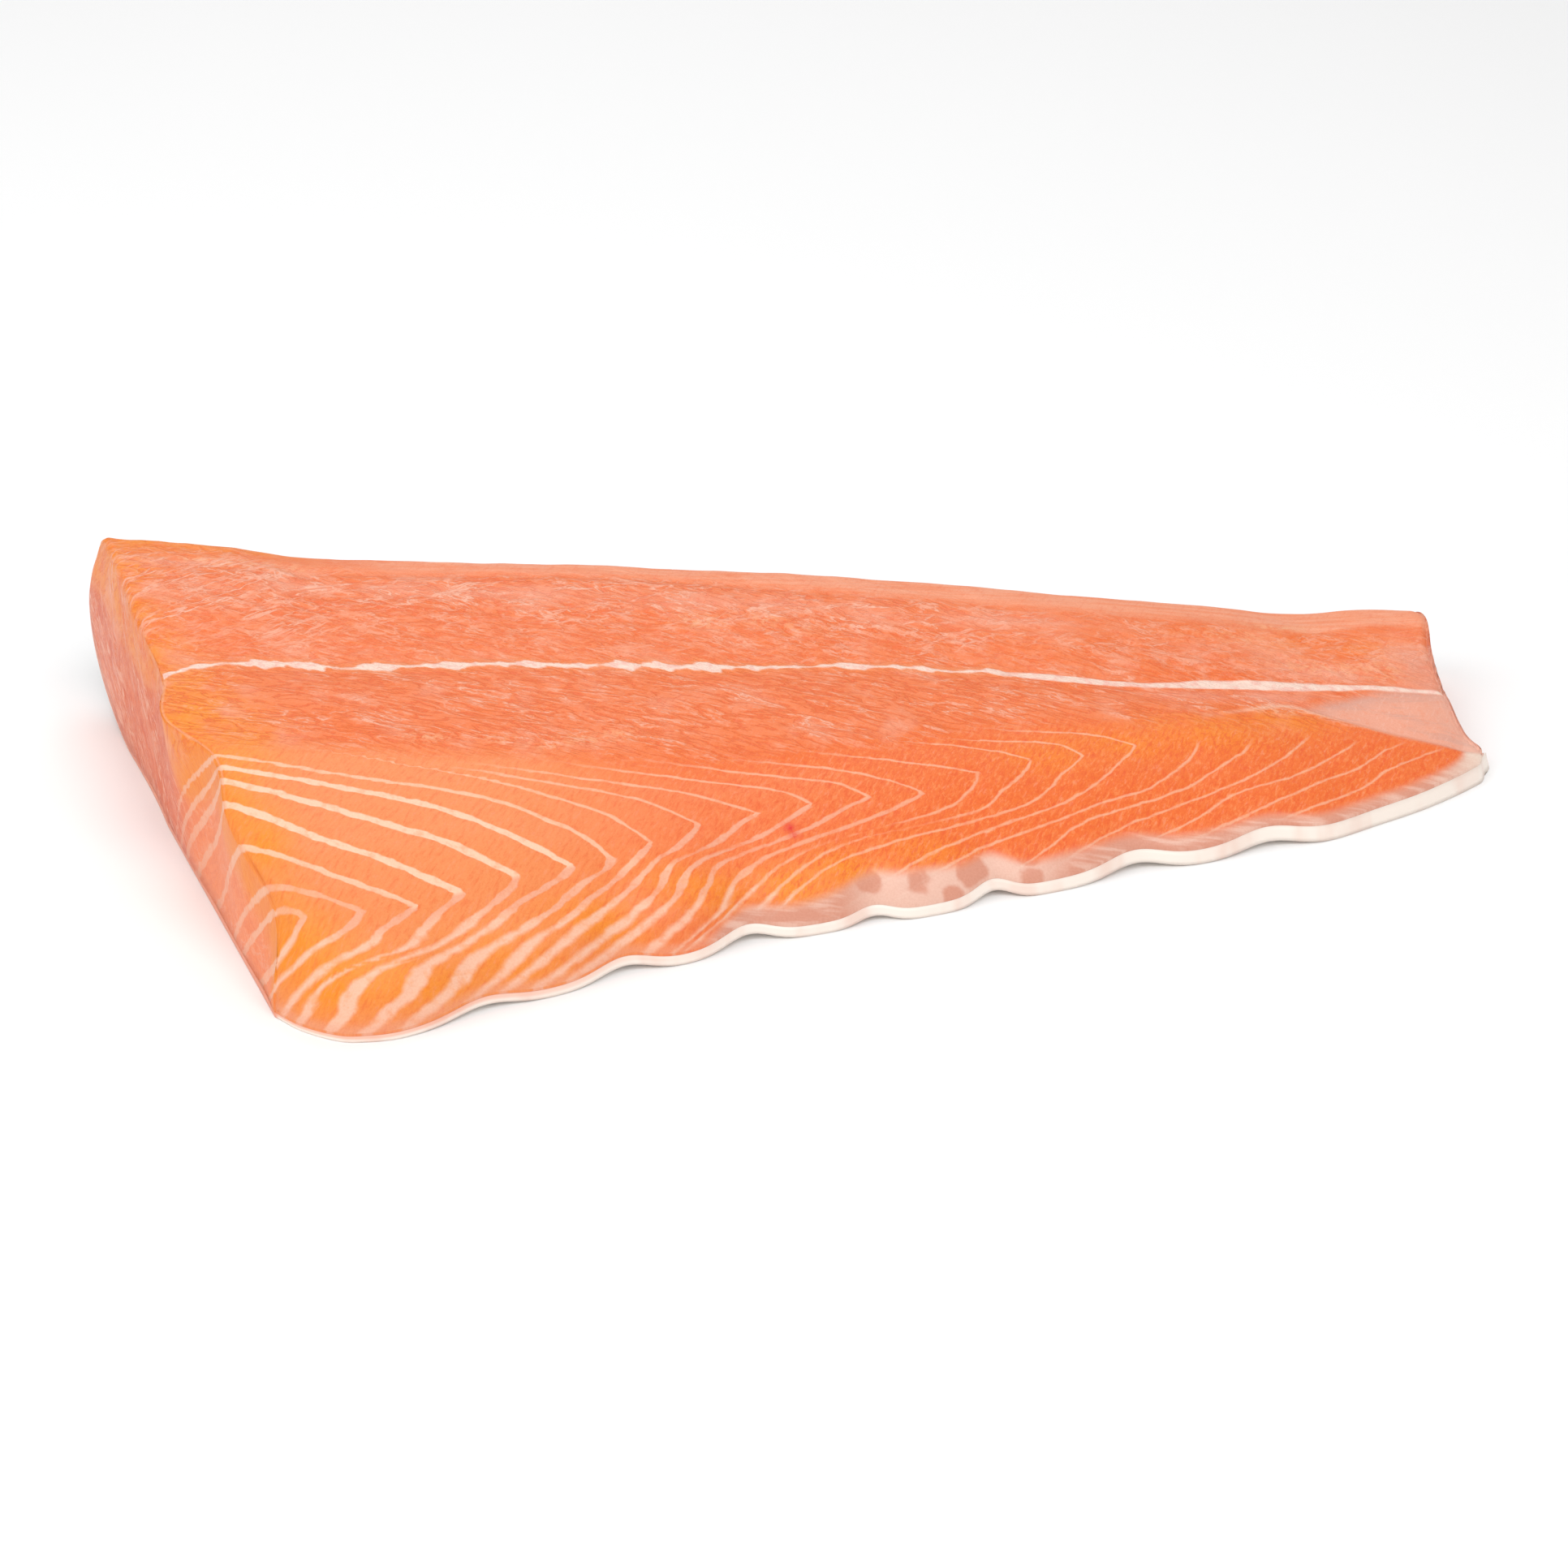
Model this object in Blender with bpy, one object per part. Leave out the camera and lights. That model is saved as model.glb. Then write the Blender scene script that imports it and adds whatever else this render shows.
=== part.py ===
# Raw salmon fillet: the tail half of one side, lying skin side down.
# X runs from the wide cut to the tail, Y from the belly to the back, Z up. Sizes are in metres.
import math

import bmesh
import bpy
from mathutils import Vector

# Top edge along the back: x, y and height.
BACK_EDGE = (
    (-0.1471, 0.0730, 0.0424),
    (-0.1181, 0.0691, 0.0398),
    (-0.1040, 0.0671, 0.0378),
    (-0.0384, 0.0627, 0.0341),
    (0.0245, 0.0590, 0.0289),
    (0.0624, 0.0559, 0.0246),
    (0.0996, 0.0557, 0.0193),
    (0.1165, 0.0559, 0.0165),
    (0.1327, 0.0559, 0.0168),
    (0.1473, 0.0542, 0.0166),
)
# Seam where the backbone lay: x, y and height.
SEAM = (
    (-0.1343, 0.0138, 0.0355),
    (-0.0826, 0.0169, 0.0330),
    (-0.0211, 0.0182, 0.0285),
    (0.0299, 0.0215, 0.0240),
    (0.0830, 0.0204, 0.0180),
    (0.1104, 0.0218, 0.0145),
    (0.1462, 0.0257, 0.0105),
)
# Outer edge of the belly skin in plan, before its scallops: x and y.
BELLY_EDGE = (
    (-0.1119, -0.0666),
    (-0.1071, -0.0722),
    (-0.1009, -0.0765),
    (-0.0963, -0.0779),
    (-0.0869, -0.0771),
    (-0.0580, -0.0655),
    (-0.0333, -0.0568),
    (-0.0081, -0.0484),
    (0.0174, -0.0432),
    (0.0437, -0.0365),
    (0.0757, -0.0285),
    (0.1057, -0.0217),
    (0.1203, -0.0150),
    (0.1326, -0.0088),
    (0.1456, 0.0000),
    (0.1516, 0.0058),
)
# Scallops of the belly edge: where each notch is, its half width and its share of the full depth.
NOTCHES = (
    (-0.0713, 0.0080, 0.70),
    (-0.0430, 0.0070, 0.85),
    (-0.0176, 0.0065, 0.95),
    (0.0087, 0.0050, 0.65),
    (0.0342, 0.0050, 0.90),
    (0.0652, 0.0080, 0.90),
    (0.0947, 0.0085, 0.80),
)
NOTCH_DEPTH = 0.0030
NOTCH_LIFT = 0.0018
LIFT_REACH = 0.0110

# Height of the pale skin rim at the belly edge: x and height.
RIM_HEIGHT = ((-0.1119, 0.0009), (-0.0580, 0.0016), (0.0432, 0.0023), (0.1516, 0.0036))
RIM_REACH = 0.0040
RIM_LEAN = 0.45
FLESH_EDGE = 0.0006

SKIN = 0.0014
GAP = 0.0003
SKIN_TOP = 0.14

# Belly side of a cross section, height = (1 - across ^ A) ^ B: A and B at the wide cut and at the tail.
FULL_SIDE = (2.0, 0.45)
LEAN_SIDE = (1.30, 0.95)
BACK_CROWN = 0.0012
CORNER = 0.10

# The back's side in a cross section, as shares of the height there: two Bezier handles and the foot.
BACK_BULGE = 0.22
BULGE_FROM = 0.72
BACK_FOOT = 0.55

# How far the wide cut's top edge strays along X: place across, from -1 at the back to 1, and distance.
CUT_STRAY = ((-1.0, 0.0), (-0.35, 0.0004), (0.0, 0.0012), (0.22, -0.0030), (0.40, 0.0030), (0.62, 0.0004), (1.0, 0.0))
TAIL_STRAY = ((-1.0, 0.0), (-0.45, -0.0022), (0.0, -0.0020), (0.55, -0.0040), (0.8, -0.0038), (1.0, 0.0))
STRAY_REACH = 0.012
# How far the wide cut swells out along the back's half of it, and at what share of its height most.
CUT_SWELL = 0.0036
SWELL_AT = 0.36

# Cells along, across and through the blocks that become the pieces, and where their stretches meet.
ALONG = 60
ACROSS = 32
FLESH_LAYERS = 2
SIDE_SHARE = 6 / ACROSS
CORNER_SHARE = 3 / ACROSS
SEAM_SHARE = 13 / ACROSS
FLAT_ANGLE = math.radians(0.01)

FLESH_COLOUR = (0.90, 0.26, 0.09, 1.0)
SKIN_COLOUR = (0.74, 0.68, 0.60, 1.0)


def clear_scene():
    for obj in list(bpy.data.objects):
        bpy.data.objects.remove(obj)


def mix(a, b, share):
    return a + (b - a) * share


def smooth(share):
    share = min(max(share, 0.0), 1.0)
    return share * share * (3.0 - 2.0 * share)


def read_curve(rows, x):
    """The values of a table at x, on a smooth curve through its rows."""
    x = min(max(x, rows[0][0]), rows[-1][0])
    i = max(k for k in range(len(rows) - 1) if rows[k][0] <= x)
    before, start, end, after = rows[max(i - 1, 0)], rows[i], rows[i + 1], rows[min(i + 2, len(rows) - 1)]
    run = end[0] - start[0]
    t = (x - start[0]) / run
    values = []
    for k in range(1, len(start)):
        slope_in = (end[k] - before[k]) / (end[0] - before[0]) * run
        slope_out = (after[k] - start[k]) / (after[0] - start[0]) * run
        values.append(
            (2 * t**3 - 3 * t**2 + 1) * start[k]
            + (t**3 - 2 * t**2 + t) * slope_in
            + (3 * t**2 - 2 * t**3) * end[k]
            + (t**3 - t**2) * slope_out
        )
    return values


class Section:
    """The cross section at u, from 0 at the wide cut to 1 at the tail."""

    def __init__(self, u):
        back_x = mix(BACK_EDGE[0][0], BACK_EDGE[-1][0], u)
        seam_x = mix(SEAM[0][0], SEAM[-1][0], u)
        belly_x = mix(BELLY_EDGE[0][0], BELLY_EDGE[-1][0], u)
        back_y, self.height = read_curve(BACK_EDGE, back_x)
        seam_y, self.seam_height = read_curve(SEAM, seam_x)
        (belly_y,) = read_curve(BELLY_EDGE, belly_x)
        (self.rim,) = read_curve(RIM_HEIGHT, belly_x)
        notch = sum(size * math.exp(-(((belly_x - x) / half) ** 2)) for x, half, size in NOTCHES)
        self.lift = NOTCH_LIFT * notch
        self.back = Vector((back_x, back_y))
        self.seam = Vector((seam_x, seam_y))
        self.belly = Vector((belly_x, belly_y + NOTCH_DEPTH * notch))
        self.outward = (self.back - self.seam).normalized()
        self.inward = (self.seam - self.belly).normalized()
        self.u = u

    def place(self, across, past=0.0):
        """The plan position at across, from -1 at the back over 0 at the seam to 1 at the belly edge."""
        if across < 0:
            return self.seam.lerp(self.back, -across) + self.outward * past
        return self.seam.lerp(self.belly, across) + self.inward * past

    def top(self, v):
        """The plan place and height of the top at v, from 0 at the back to 1 at the belly edge."""
        radius = CORNER * self.height
        width = (self.back - self.seam).length
        if v < CORNER_SHARE:
            turn = math.radians(90) * v / CORNER_SHARE
            across = -1 + (1 - math.cos(turn)) * radius / width
            return across, self.height - radius * (1 - math.sin(turn))
        if v < SEAM_SHARE:
            t = (v - CORNER_SHARE) / (SEAM_SHARE - CORNER_SHARE)
            across = mix(-1 + radius / width, 0.0, t)
            return across, mix(self.height, self.seam_height, smooth(t)) + BACK_CROWN * math.sin(math.pi * t)
        turn = math.radians(90) * (v - SEAM_SHARE) / (1 - SEAM_SHARE)
        foot = self.lift + self.rim + GAP + FLESH_EDGE
        bend, power = (mix(a, b, self.u**1.5) for a, b in zip(FULL_SIDE, LEAN_SIDE))
        across = min(math.sin(turn), 1.0)
        return across, foot + (self.seam_height - foot) * (1 - across**bend) ** power

    def skin_at(self, inside):
        """The height of the skin's outer face, and its thickness, at a distance inside the belly edge."""
        outer = self.lift * smooth(1 - inside / LIFT_REACH)
        return outer, mix(SKIN, self.rim, math.exp(-((inside / RIM_REACH) ** 2)))

    def under(self, v, above):
        """The point at v on the underside, above times the skin's thickness in from its outer face."""
        h = self.height
        if v < SIDE_SHARE:
            t = mix(SKIN_TOP, 1.0, v / SIDE_SHARE)
            handles = (Vector((0, h)), Vector((BACK_BULGE * h, BULGE_FROM * h)))
            handles += (Vector((BACK_BULGE * h, 0)), Vector((-BACK_FOOT * h, 0)))
            weights = ((1 - t) ** 3, 3 * t * (1 - t) ** 2, 3 * t * t * (1 - t), t**3)
            spot = sum((p * w for p, w in zip(handles, weights)), Vector((0, 0)))
            slope = (handles[1] - handles[0]) * (1 - t) ** 2 + (handles[2] - handles[1]) * 2 * t * (1 - t)
            slope += (handles[3] - handles[2]) * t * t
            spot += Vector((slope.y, -slope.x)).normalized() * (SKIN * above)
            plan = self.place(-1.0, spot.x)
            return Vector((plan.x, plan.y, spot.y))
        width = (self.back - self.seam).length
        foot = -1 + BACK_FOOT * h / width
        if v < SEAM_SHARE:
            across = mix(foot, 0.0, (v - SIDE_SHARE) / (SEAM_SHARE - SIDE_SHARE))
        else:
            across = math.sin(math.radians(90) * (v - SEAM_SHARE) / (1 - SEAM_SHARE))
        inside = (1 - across) * (self.belly - self.seam).length
        outer, thick = self.skin_at(inside)
        lean = RIM_LEAN * thick * above * math.exp(-((inside / RIM_REACH) ** 2))
        plan = self.place(across, lean if across > 0 else 0.0)
        return Vector((plan.x, plan.y, outer + thick * above))


def stray(u, across, rise):
    """How far a point near either cut strays along X, with rise its share of the height there."""
    (wide,) = read_curve(CUT_STRAY, across)
    (tail,) = read_curve(TAIL_STRAY, across)
    swell = CUT_SWELL * smooth(-across * 1.1 - 0.1) * (1 - ((rise - SWELL_AT) / (1 - SWELL_AT)) ** 2)
    reach = STRAY_REACH / (BACK_EDGE[-1][0] - BACK_EDGE[0][0])
    return (rise * wide - swell) * smooth(1 - u / reach) + rise * tail * smooth(1 - (1 - u) / reach)


def flesh_point(u, v, w):
    """A point of the flesh: u along, v across from the back, w up from the skin."""
    section = Section(u)
    across, height = section.top(v)
    edge = RIM_LEAN * (section.rim + GAP) * max(across, 0.0) ** 8
    plan = section.place(across, edge)
    _, thick = section.skin_at((1 - across) * (section.belly - section.seam).length)
    if v < SIDE_SHARE:
        thick = SKIN
    spot = section.under(v, 1 + GAP / thick).lerp(Vector((plan.x, plan.y, height)), w)
    spot.x += stray(u, across, spot.z / height)
    return spot


def skin_point(u, v, w):
    """A point of the skin: u along, v round from the back's upper edge to the belly rim, w inwards."""
    section = Section(u)
    spot = section.under(v, w)
    across = -1.0 if v < SIDE_SHARE else section.top(v)[0]
    spot.x += stray(u, across, spot.z / section.height)
    return spot


def block(name, cells, place, material):
    """A cube cut into cells and carried, point by point, to its place."""
    bm = bmesh.new()
    bmesh.ops.create_cube(bm, size=1.0)
    for axis, count in enumerate(cells):
        lengthwise = [e for e in bm.edges if abs(e.verts[0].co[axis] - e.verts[1].co[axis]) > 1e-4]
        if count > 1:
            bmesh.ops.subdivide_edges(bm, edges=lengthwise, cuts=count - 1, use_grid_fill=True)
    for vert in bm.verts:
        x, y, z = vert.co
        vert.co = place(x + 0.5, 0.5 - y, z + 0.5)
    bmesh.ops.recalc_face_normals(bm, faces=bm.faces)
    mesh = bpy.data.meshes.new(name)
    bm.to_mesh(mesh)
    bm.free()
    mesh.materials.append(material)
    mesh.shade_smooth()
    mesh.set_sharp_from_angle(angle=math.radians(40))
    obj = bpy.data.objects.new(name, mesh)
    flat = obj.modifiers.new("merge_flat_cells", "DECIMATE")
    flat.decimate_type = "DISSOLVE"
    flat.angle_limit = FLAT_ANGLE
    return obj


def finish(name, colour, roughness):
    material = bpy.data.materials.new(name)
    material.use_nodes = True
    shader = material.node_tree.nodes["Principled BSDF"]
    shader.inputs["Base Color"].default_value = colour
    shader.inputs["Roughness"].default_value = roughness
    shader.inputs["Metallic"].default_value = 0.0
    return material


def main():
    clear_scene()
    fillet = bpy.data.collections.new("salmon_fillet")
    bpy.context.scene.collection.children.link(fillet)
    flesh = finish("raw_flesh", FLESH_COLOUR, 0.38)
    skin = finish("fish_skin", SKIN_COLOUR, 0.30)
    fillet.objects.link(block("flesh", (ALONG, ACROSS, FLESH_LAYERS), flesh_point, flesh))
    fillet.objects.link(block("skin", (ALONG, ACROSS, 1), skin_point, skin))


main()
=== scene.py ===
import math
from functools import reduce
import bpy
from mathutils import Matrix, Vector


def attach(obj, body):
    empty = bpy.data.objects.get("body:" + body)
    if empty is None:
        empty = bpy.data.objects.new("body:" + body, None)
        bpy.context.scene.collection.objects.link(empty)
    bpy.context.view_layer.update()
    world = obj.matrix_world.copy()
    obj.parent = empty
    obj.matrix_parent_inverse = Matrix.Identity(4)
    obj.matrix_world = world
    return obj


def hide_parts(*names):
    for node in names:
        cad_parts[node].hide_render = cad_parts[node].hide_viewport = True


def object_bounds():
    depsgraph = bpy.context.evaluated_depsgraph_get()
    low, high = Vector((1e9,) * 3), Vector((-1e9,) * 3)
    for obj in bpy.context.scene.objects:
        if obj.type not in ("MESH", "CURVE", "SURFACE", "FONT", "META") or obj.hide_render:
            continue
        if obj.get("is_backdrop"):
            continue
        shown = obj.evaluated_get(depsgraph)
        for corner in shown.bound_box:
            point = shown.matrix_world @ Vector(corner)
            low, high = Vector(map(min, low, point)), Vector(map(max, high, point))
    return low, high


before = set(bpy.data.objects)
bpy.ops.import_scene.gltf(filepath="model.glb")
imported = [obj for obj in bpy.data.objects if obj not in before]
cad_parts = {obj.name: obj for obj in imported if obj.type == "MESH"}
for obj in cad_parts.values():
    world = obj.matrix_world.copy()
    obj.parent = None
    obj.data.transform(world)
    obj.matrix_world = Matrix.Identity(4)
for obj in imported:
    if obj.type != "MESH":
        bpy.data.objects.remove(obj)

from types import SimpleNamespace

import bmesh
import bpy
import numpy as np
from mathutils import Vector, noise

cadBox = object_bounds()                    # the solids' box, which the dressed part stays inside
print("frame loaded:", sorted(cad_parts))

# The fillet's form in metres: the solids', with the cuts' top edges and the corners at the tail drawn in.
form = {
    # top edge along the back: x, y, height
    "backEdge": ((-0.1471, 0.0730, 0.0424), (-0.1181, 0.0691, 0.0398), (-0.1040, 0.0671, 0.0378),
                 (-0.0384, 0.0627, 0.0341), (0.0245, 0.0590, 0.0289), (0.0624, 0.0559, 0.0246),
                 (0.0996, 0.0557, 0.0193), (0.1165, 0.0559, 0.0165), (0.1327, 0.0559, 0.0168),
                 (0.1473, 0.0542, 0.0166)),
    # seam where the backbone lay: x, y, height
    "seam": ((-0.1343, 0.0138, 0.0355), (-0.0826, 0.0169, 0.0330), (-0.0211, 0.0182, 0.0285),
             (0.0299, 0.0215, 0.0240), (0.0830, 0.0204, 0.0180), (0.1104, 0.0218, 0.0145),
             (0.1462, 0.0257, 0.0105)),
    # belly edge in plan, before its scallops: x, y
    "bellyEdge": ((-0.1119, -0.0666), (-0.1071, -0.0722), (-0.1009, -0.0765), (-0.0963, -0.0779),
                  (-0.0869, -0.0771), (-0.0580, -0.0655), (-0.0333, -0.0568), (-0.0081, -0.0484),
                  (0.0174, -0.0432), (0.0437, -0.0365), (0.0757, -0.0285), (0.1057, -0.0217),
                  (0.1203, -0.0150), (0.1326, -0.0088), (0.1456, 0.0000), (0.1516, 0.0058)),
    # scallops: x, half width, share of the full depth
    "notches": ((-0.0713, 0.0080, 0.70), (-0.0430, 0.0070, 0.85), (-0.0176, 0.0065, 0.95),
                (0.0087, 0.0050, 0.65), (0.0342, 0.0050, 0.90), (0.0652, 0.0080, 0.90),
                (0.0947, 0.0085, 0.80)),
    "notchDepth": 0.0030, "notchLift": 0.0018, "liftReach": 0.0110,
    # height of the pale skin rim: x, height
    "rimHeight": ((-0.1119, 0.0009), (-0.0580, 0.0016), (0.0432, 0.0023), (0.1516, 0.0036)),
    "rimReach": 0.0040, "rimLean": 0.45, "fleshEdge": 0.0006,
    "length": 0.30, "skin": 0.0014, "gap": 0.00002, "skinTop": 0.14,
    "fullSide": (2.0, 0.45), "leanSide": (1.30, 0.95),
    "backCrown": 0.0012, "corner": 0.10, "backBulge": 0.22, "bulgeFrom": 0.72, "backFoot": 0.55,
    # how far the top edge of each cut strays along x: place across, distance
    "cutStray": ((-1.0, 0.0), (-0.35, 0.0004), (0.0, 0.0012), (0.22, -0.0030), (0.40, 0.0030),
                 (0.62, 0.0006), (0.72, 0.0010), (0.82, 0.0028), (0.90, 0.0034), (0.96, 0.0020), (1.0, 0.0)),
    "tailStray": ((-1.0, -0.0030), (-0.95, -0.0012), (-0.88, -0.0005), (-0.8, -0.0006), (-0.45, -0.0022),
                  (0.0, -0.0020), (0.55, -0.0040), (0.8, -0.0038), (1.0, 0.0)),
    "cornerDraw": 0.0022, "cornerReach": 0.0050, "cornerEase": 0.006,
    "strayReach": 0.012, "cutSwell": 0.0036, "swellAt": 0.36,
    # where the stretches of the across direction meet, as shares of its cells
    "sideShare": 0.17, "cornerShare": 0.05, "seamShare": 0.42,
}


def smooth(share):
    share = np.clip(share, 0.0, 1.0)
    return share * share * (3.0 - 2.0 * share)


def between(value, low, high):          # 0 at low, 1 at high, eased
    return smooth((value - low) / (high - low))


def mix(a, b, share):
    return a + (b - a) * share


def bell(offset, width):                # 1 in the middle, falling away on both sides
    return np.exp(-((offset / width) ** 2))


def readCurve(rows, x):                 # smooth curve through a table's rows
    rows = np.array(rows)
    xs = rows[:, 0]
    x = np.clip(x, xs[0], xs[-1])
    i = np.clip(np.searchsorted(xs, x, side="right") - 1, 0, len(xs) - 2)
    before, after = np.maximum(i - 1, 0), np.minimum(i + 2, len(xs) - 1)
    run = xs[i + 1] - xs[i]
    t = (x - xs[i]) / run
    values = []
    for c in rows.T[1:]:
        slopeIn = (c[i + 1] - c[before]) / (xs[i + 1] - xs[before]) * run
        slopeOut = (c[after] - c[i]) / (xs[after] - xs[i]) * run
        values.append((2 * t**3 - 3 * t**2 + 1) * c[i] + (t**3 - 2 * t**2 + t) * slopeIn
                      + (3 * t**2 - 2 * t**3) * c[i + 1] + (t**3 - t**2) * slopeOut)
    return values


def sectionAt(u):                       # the cross sections at u, 0 at the wide cut to 1 at the tail
    f = form
    s = {"u": u}
    backX = mix(f["backEdge"][0][0], f["backEdge"][-1][0], u)
    seamX = mix(f["seam"][0][0], f["seam"][-1][0], u)
    bellyX = mix(f["bellyEdge"][0][0], f["bellyEdge"][-1][0], u)
    backY, s["height"] = readCurve(f["backEdge"], backX)
    seamY, s["seamHeight"] = readCurve(f["seam"], seamX)
    bellyY = readCurve(f["bellyEdge"], bellyX)[0]
    s["rim"] = readCurve(f["rimHeight"], bellyX)[0]
    notch = sum(size * bell(bellyX - x, half) for x, half, size in f["notches"])
    s["lift"] = f["notchLift"] * notch
    s["back"] = np.stack((backX, backY), 1)
    s["seam"] = np.stack((seamX, seamY), 1)
    s["belly"] = np.stack((bellyX, bellyY + f["notchDepth"] * notch), 1)
    s["backWidth"] = np.linalg.norm(s["back"] - s["seam"], axis=1)
    s["bellyWidth"] = np.linalg.norm(s["belly"] - s["seam"], axis=1)
    s["outward"] = (s["back"] - s["seam"]) / s["backWidth"][:, None]
    s["inward"] = (s["seam"] - s["belly"]) / s["bellyWidth"][:, None]
    return s


def placeAcross(s, across, past):       # plan position, from -1 at the back over 0 at the seam to 1
    a = across[:, None]
    dorsal = s["seam"] + (s["back"] - s["seam"]) * -a + s["outward"] * past[:, None]
    belly = s["seam"] + (s["belly"] - s["seam"]) * a + s["inward"] * past[:, None]
    return np.where(a < 0, dorsal, belly)


def overBelly(v):                       # place across on the belly side, 0 at the seam to 1 at the rim
    return np.sin(np.pi / 2 * np.clip((v - form["seamShare"]) / (1 - form["seamShare"]), 0, 1))


def topAt(s, v):                        # place across and height of the top, v from the back to the belly
    f = form
    radius = f["corner"] * s["height"]
    turn = np.pi / 2 * np.clip(v / f["cornerShare"], 0, 1)
    cornerAcross = -1 + (1 - np.cos(turn)) * radius / s["backWidth"]
    cornerHeight = s["height"] - radius * (1 - np.sin(turn))
    t = np.clip((v - f["cornerShare"]) / (f["seamShare"] - f["cornerShare"]), 0, 1)
    flatAcross = mix(-1 + radius / s["backWidth"], 0.0, t)
    flatHeight = mix(s["height"], s["seamHeight"], smooth(t)) + f["backCrown"] * np.sin(np.pi * t)
    bellyAcross = overBelly(v)
    foot = s["lift"] + s["rim"] + f["gap"] + f["fleshEdge"]
    bend, power = (mix(a, b, s["u"] ** 1.5) for a, b in zip(f["fullSide"], f["leanSide"]))
    bellyHeight = foot + (s["seamHeight"] - foot) * np.maximum(1 - bellyAcross**bend, 0) ** power
    stretches = [v < f["cornerShare"], v < f["seamShare"]]
    across = np.select(stretches, [cornerAcross, flatAcross], bellyAcross)
    return across, np.select(stretches, [cornerHeight, flatHeight], bellyHeight)


def skinAt(s, inside):                  # height of the skin's outer face, and its thickness
    outer = s["lift"] * smooth(1 - inside / form["liftReach"])
    return outer, mix(form["skin"], s["rim"], bell(inside, form["rimReach"]))


def underAt(s, v, above):               # point of the underside, above times the skin's thickness inwards
    f = form
    h = s["height"]
    t = mix(f["skinTop"], 1.0, np.clip(v / f["sideShare"], 0, 1))
    bulge = f["backBulge"] * h
    handles = [(0 * h, h), (bulge, f["bulgeFrom"] * h), (bulge, 0 * h), (-f["backFoot"] * h, 0 * h)]
    weights = ((1 - t) ** 3, 3 * t * (1 - t) ** 2, 3 * t * t * (1 - t), t**3)
    spot = [sum(p[i] * w for p, w in zip(handles, weights)) for i in (0, 1)]
    grow = ((1 - t) ** 2, 2 * t * (1 - t), t * t)
    slope = [sum((handles[k + 1][i] - handles[k][i]) * grow[k] for k in range(3)) for i in (0, 1)]
    size = np.hypot(slope[0], slope[1])
    sideOut = spot[0] + slope[1] / size * f["skin"] * above
    sideUp = spot[1] - slope[0] / size * f["skin"] * above
    sidePlan = placeAcross(s, np.full_like(v, -1.0), sideOut)
    foot = -1 + f["backFoot"] * h / s["backWidth"]
    flat = mix(foot, 0.0, (v - f["sideShare"]) / (f["seamShare"] - f["sideShare"]))
    across = np.where(v < f["seamShare"], flat, overBelly(v))
    inside = (1 - across) * s["bellyWidth"]
    outer, thick = skinAt(s, inside)
    lean = np.where(across > 0, f["rimLean"] * thick * above * bell(inside, f["rimReach"]), 0.0)
    plan = placeAcross(s, across, lean)
    side = v < f["sideShare"]
    place = np.where(side[:, None], sidePlan, plan)
    return np.column_stack((place, np.where(side, sideUp, outer + thick * above)))


def strayAt(u, across, rise):           # how far a point near either cut strays along x
    f = form
    wide, tail = (readCurve(f[name], across)[0] for name in ("cutStray", "tailStray"))
    crown = 1 - ((rise - f["swellAt"]) / (1 - f["swellAt"])) ** 2
    swell = f["cutSwell"] * smooth(-across * 1.1 - 0.1) * crown   # none by the seam, whole at the back
    reach = f["strayReach"] / (f["backEdge"][-1][0] - f["backEdge"][0][0])
    return (rise * wide - swell) * smooth(1 - u / reach) + rise * tail * smooth(1 - (1 - u) / reach)


def fleshPoints(u, v, w):               # u along, v across from the back, w up from the skin
    f = form
    s = sectionAt(u)
    across, height = topAt(s, v)
    plan = placeAcross(s, across, f["rimLean"] * (s["rim"] + f["gap"]) * np.maximum(across, 0.0) ** 8)
    thick = np.where(v < f["sideShare"], f["skin"], skinAt(s, (1 - across) * s["bellyWidth"])[1])
    low = underAt(s, v, 1 + f["gap"] / thick)
    top = np.column_stack((plan, height))
    spot = low + (top - low) * w[:, None]
    spot[:, 0] += strayAt(u, across, spot[:, 2] / height)
    return spot, top, across, s


def skinPoints(u, v, w):                # v round from the back's upper edge to the belly rim, w inwards
    s = sectionAt(u)
    spot = underAt(s, v, w)
    across = topAt(s, v)[0]
    spot[:, 0] += strayAt(u, across, spot[:, 2] / s["height"])
    return spot, across, s


def cornerDraw(u, across, s):           # how far the rim's corner at the tail draws in, for a rounder corner
    near = np.clip(1 - (1 - across) * s["bellyWidth"] / form["cornerReach"], 0, 1)
    return form["cornerDraw"] * near**2 * smooth(1 - form["length"] * (1 - u) / form["cornerEase"])


def blockMesh(name, cells):             # a cube from 0 to 1, cut into cells along each axis
    bm = bmesh.new()
    bmesh.ops.create_cube(bm, size=1.0)
    for axis, count in enumerate(cells):
        lengthwise = [e for e in bm.edges if abs(e.verts[0].co[axis] - e.verts[1].co[axis]) > 1e-4]
        if count > 1:
            bmesh.ops.subdivide_edges(bm, edges=lengthwise, cuts=count - 1, use_grid_fill=True)
    bmesh.ops.translate(bm, vec=(0.5, 0.5, 0.5), verts=bm.verts)
    mesh = bpy.data.meshes.new(name)
    bm.to_mesh(mesh)
    bm.free()
    return mesh


def readVerts(mesh, field="co"):
    flat = np.empty(len(mesh.vertices) * 3, np.float32)
    mesh.vertices.foreach_get(field, flat)
    return flat.reshape(-1, 3).astype(float)


def placeVerts(mesh, spot):             # inside the solids' box
    inBox = np.clip(spot, np.array(cadBox[0]), np.array(cadBox[1]))
    mesh.vertices.foreach_set("co", inBox.astype(np.float32).ravel())
    mesh.update()


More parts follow.
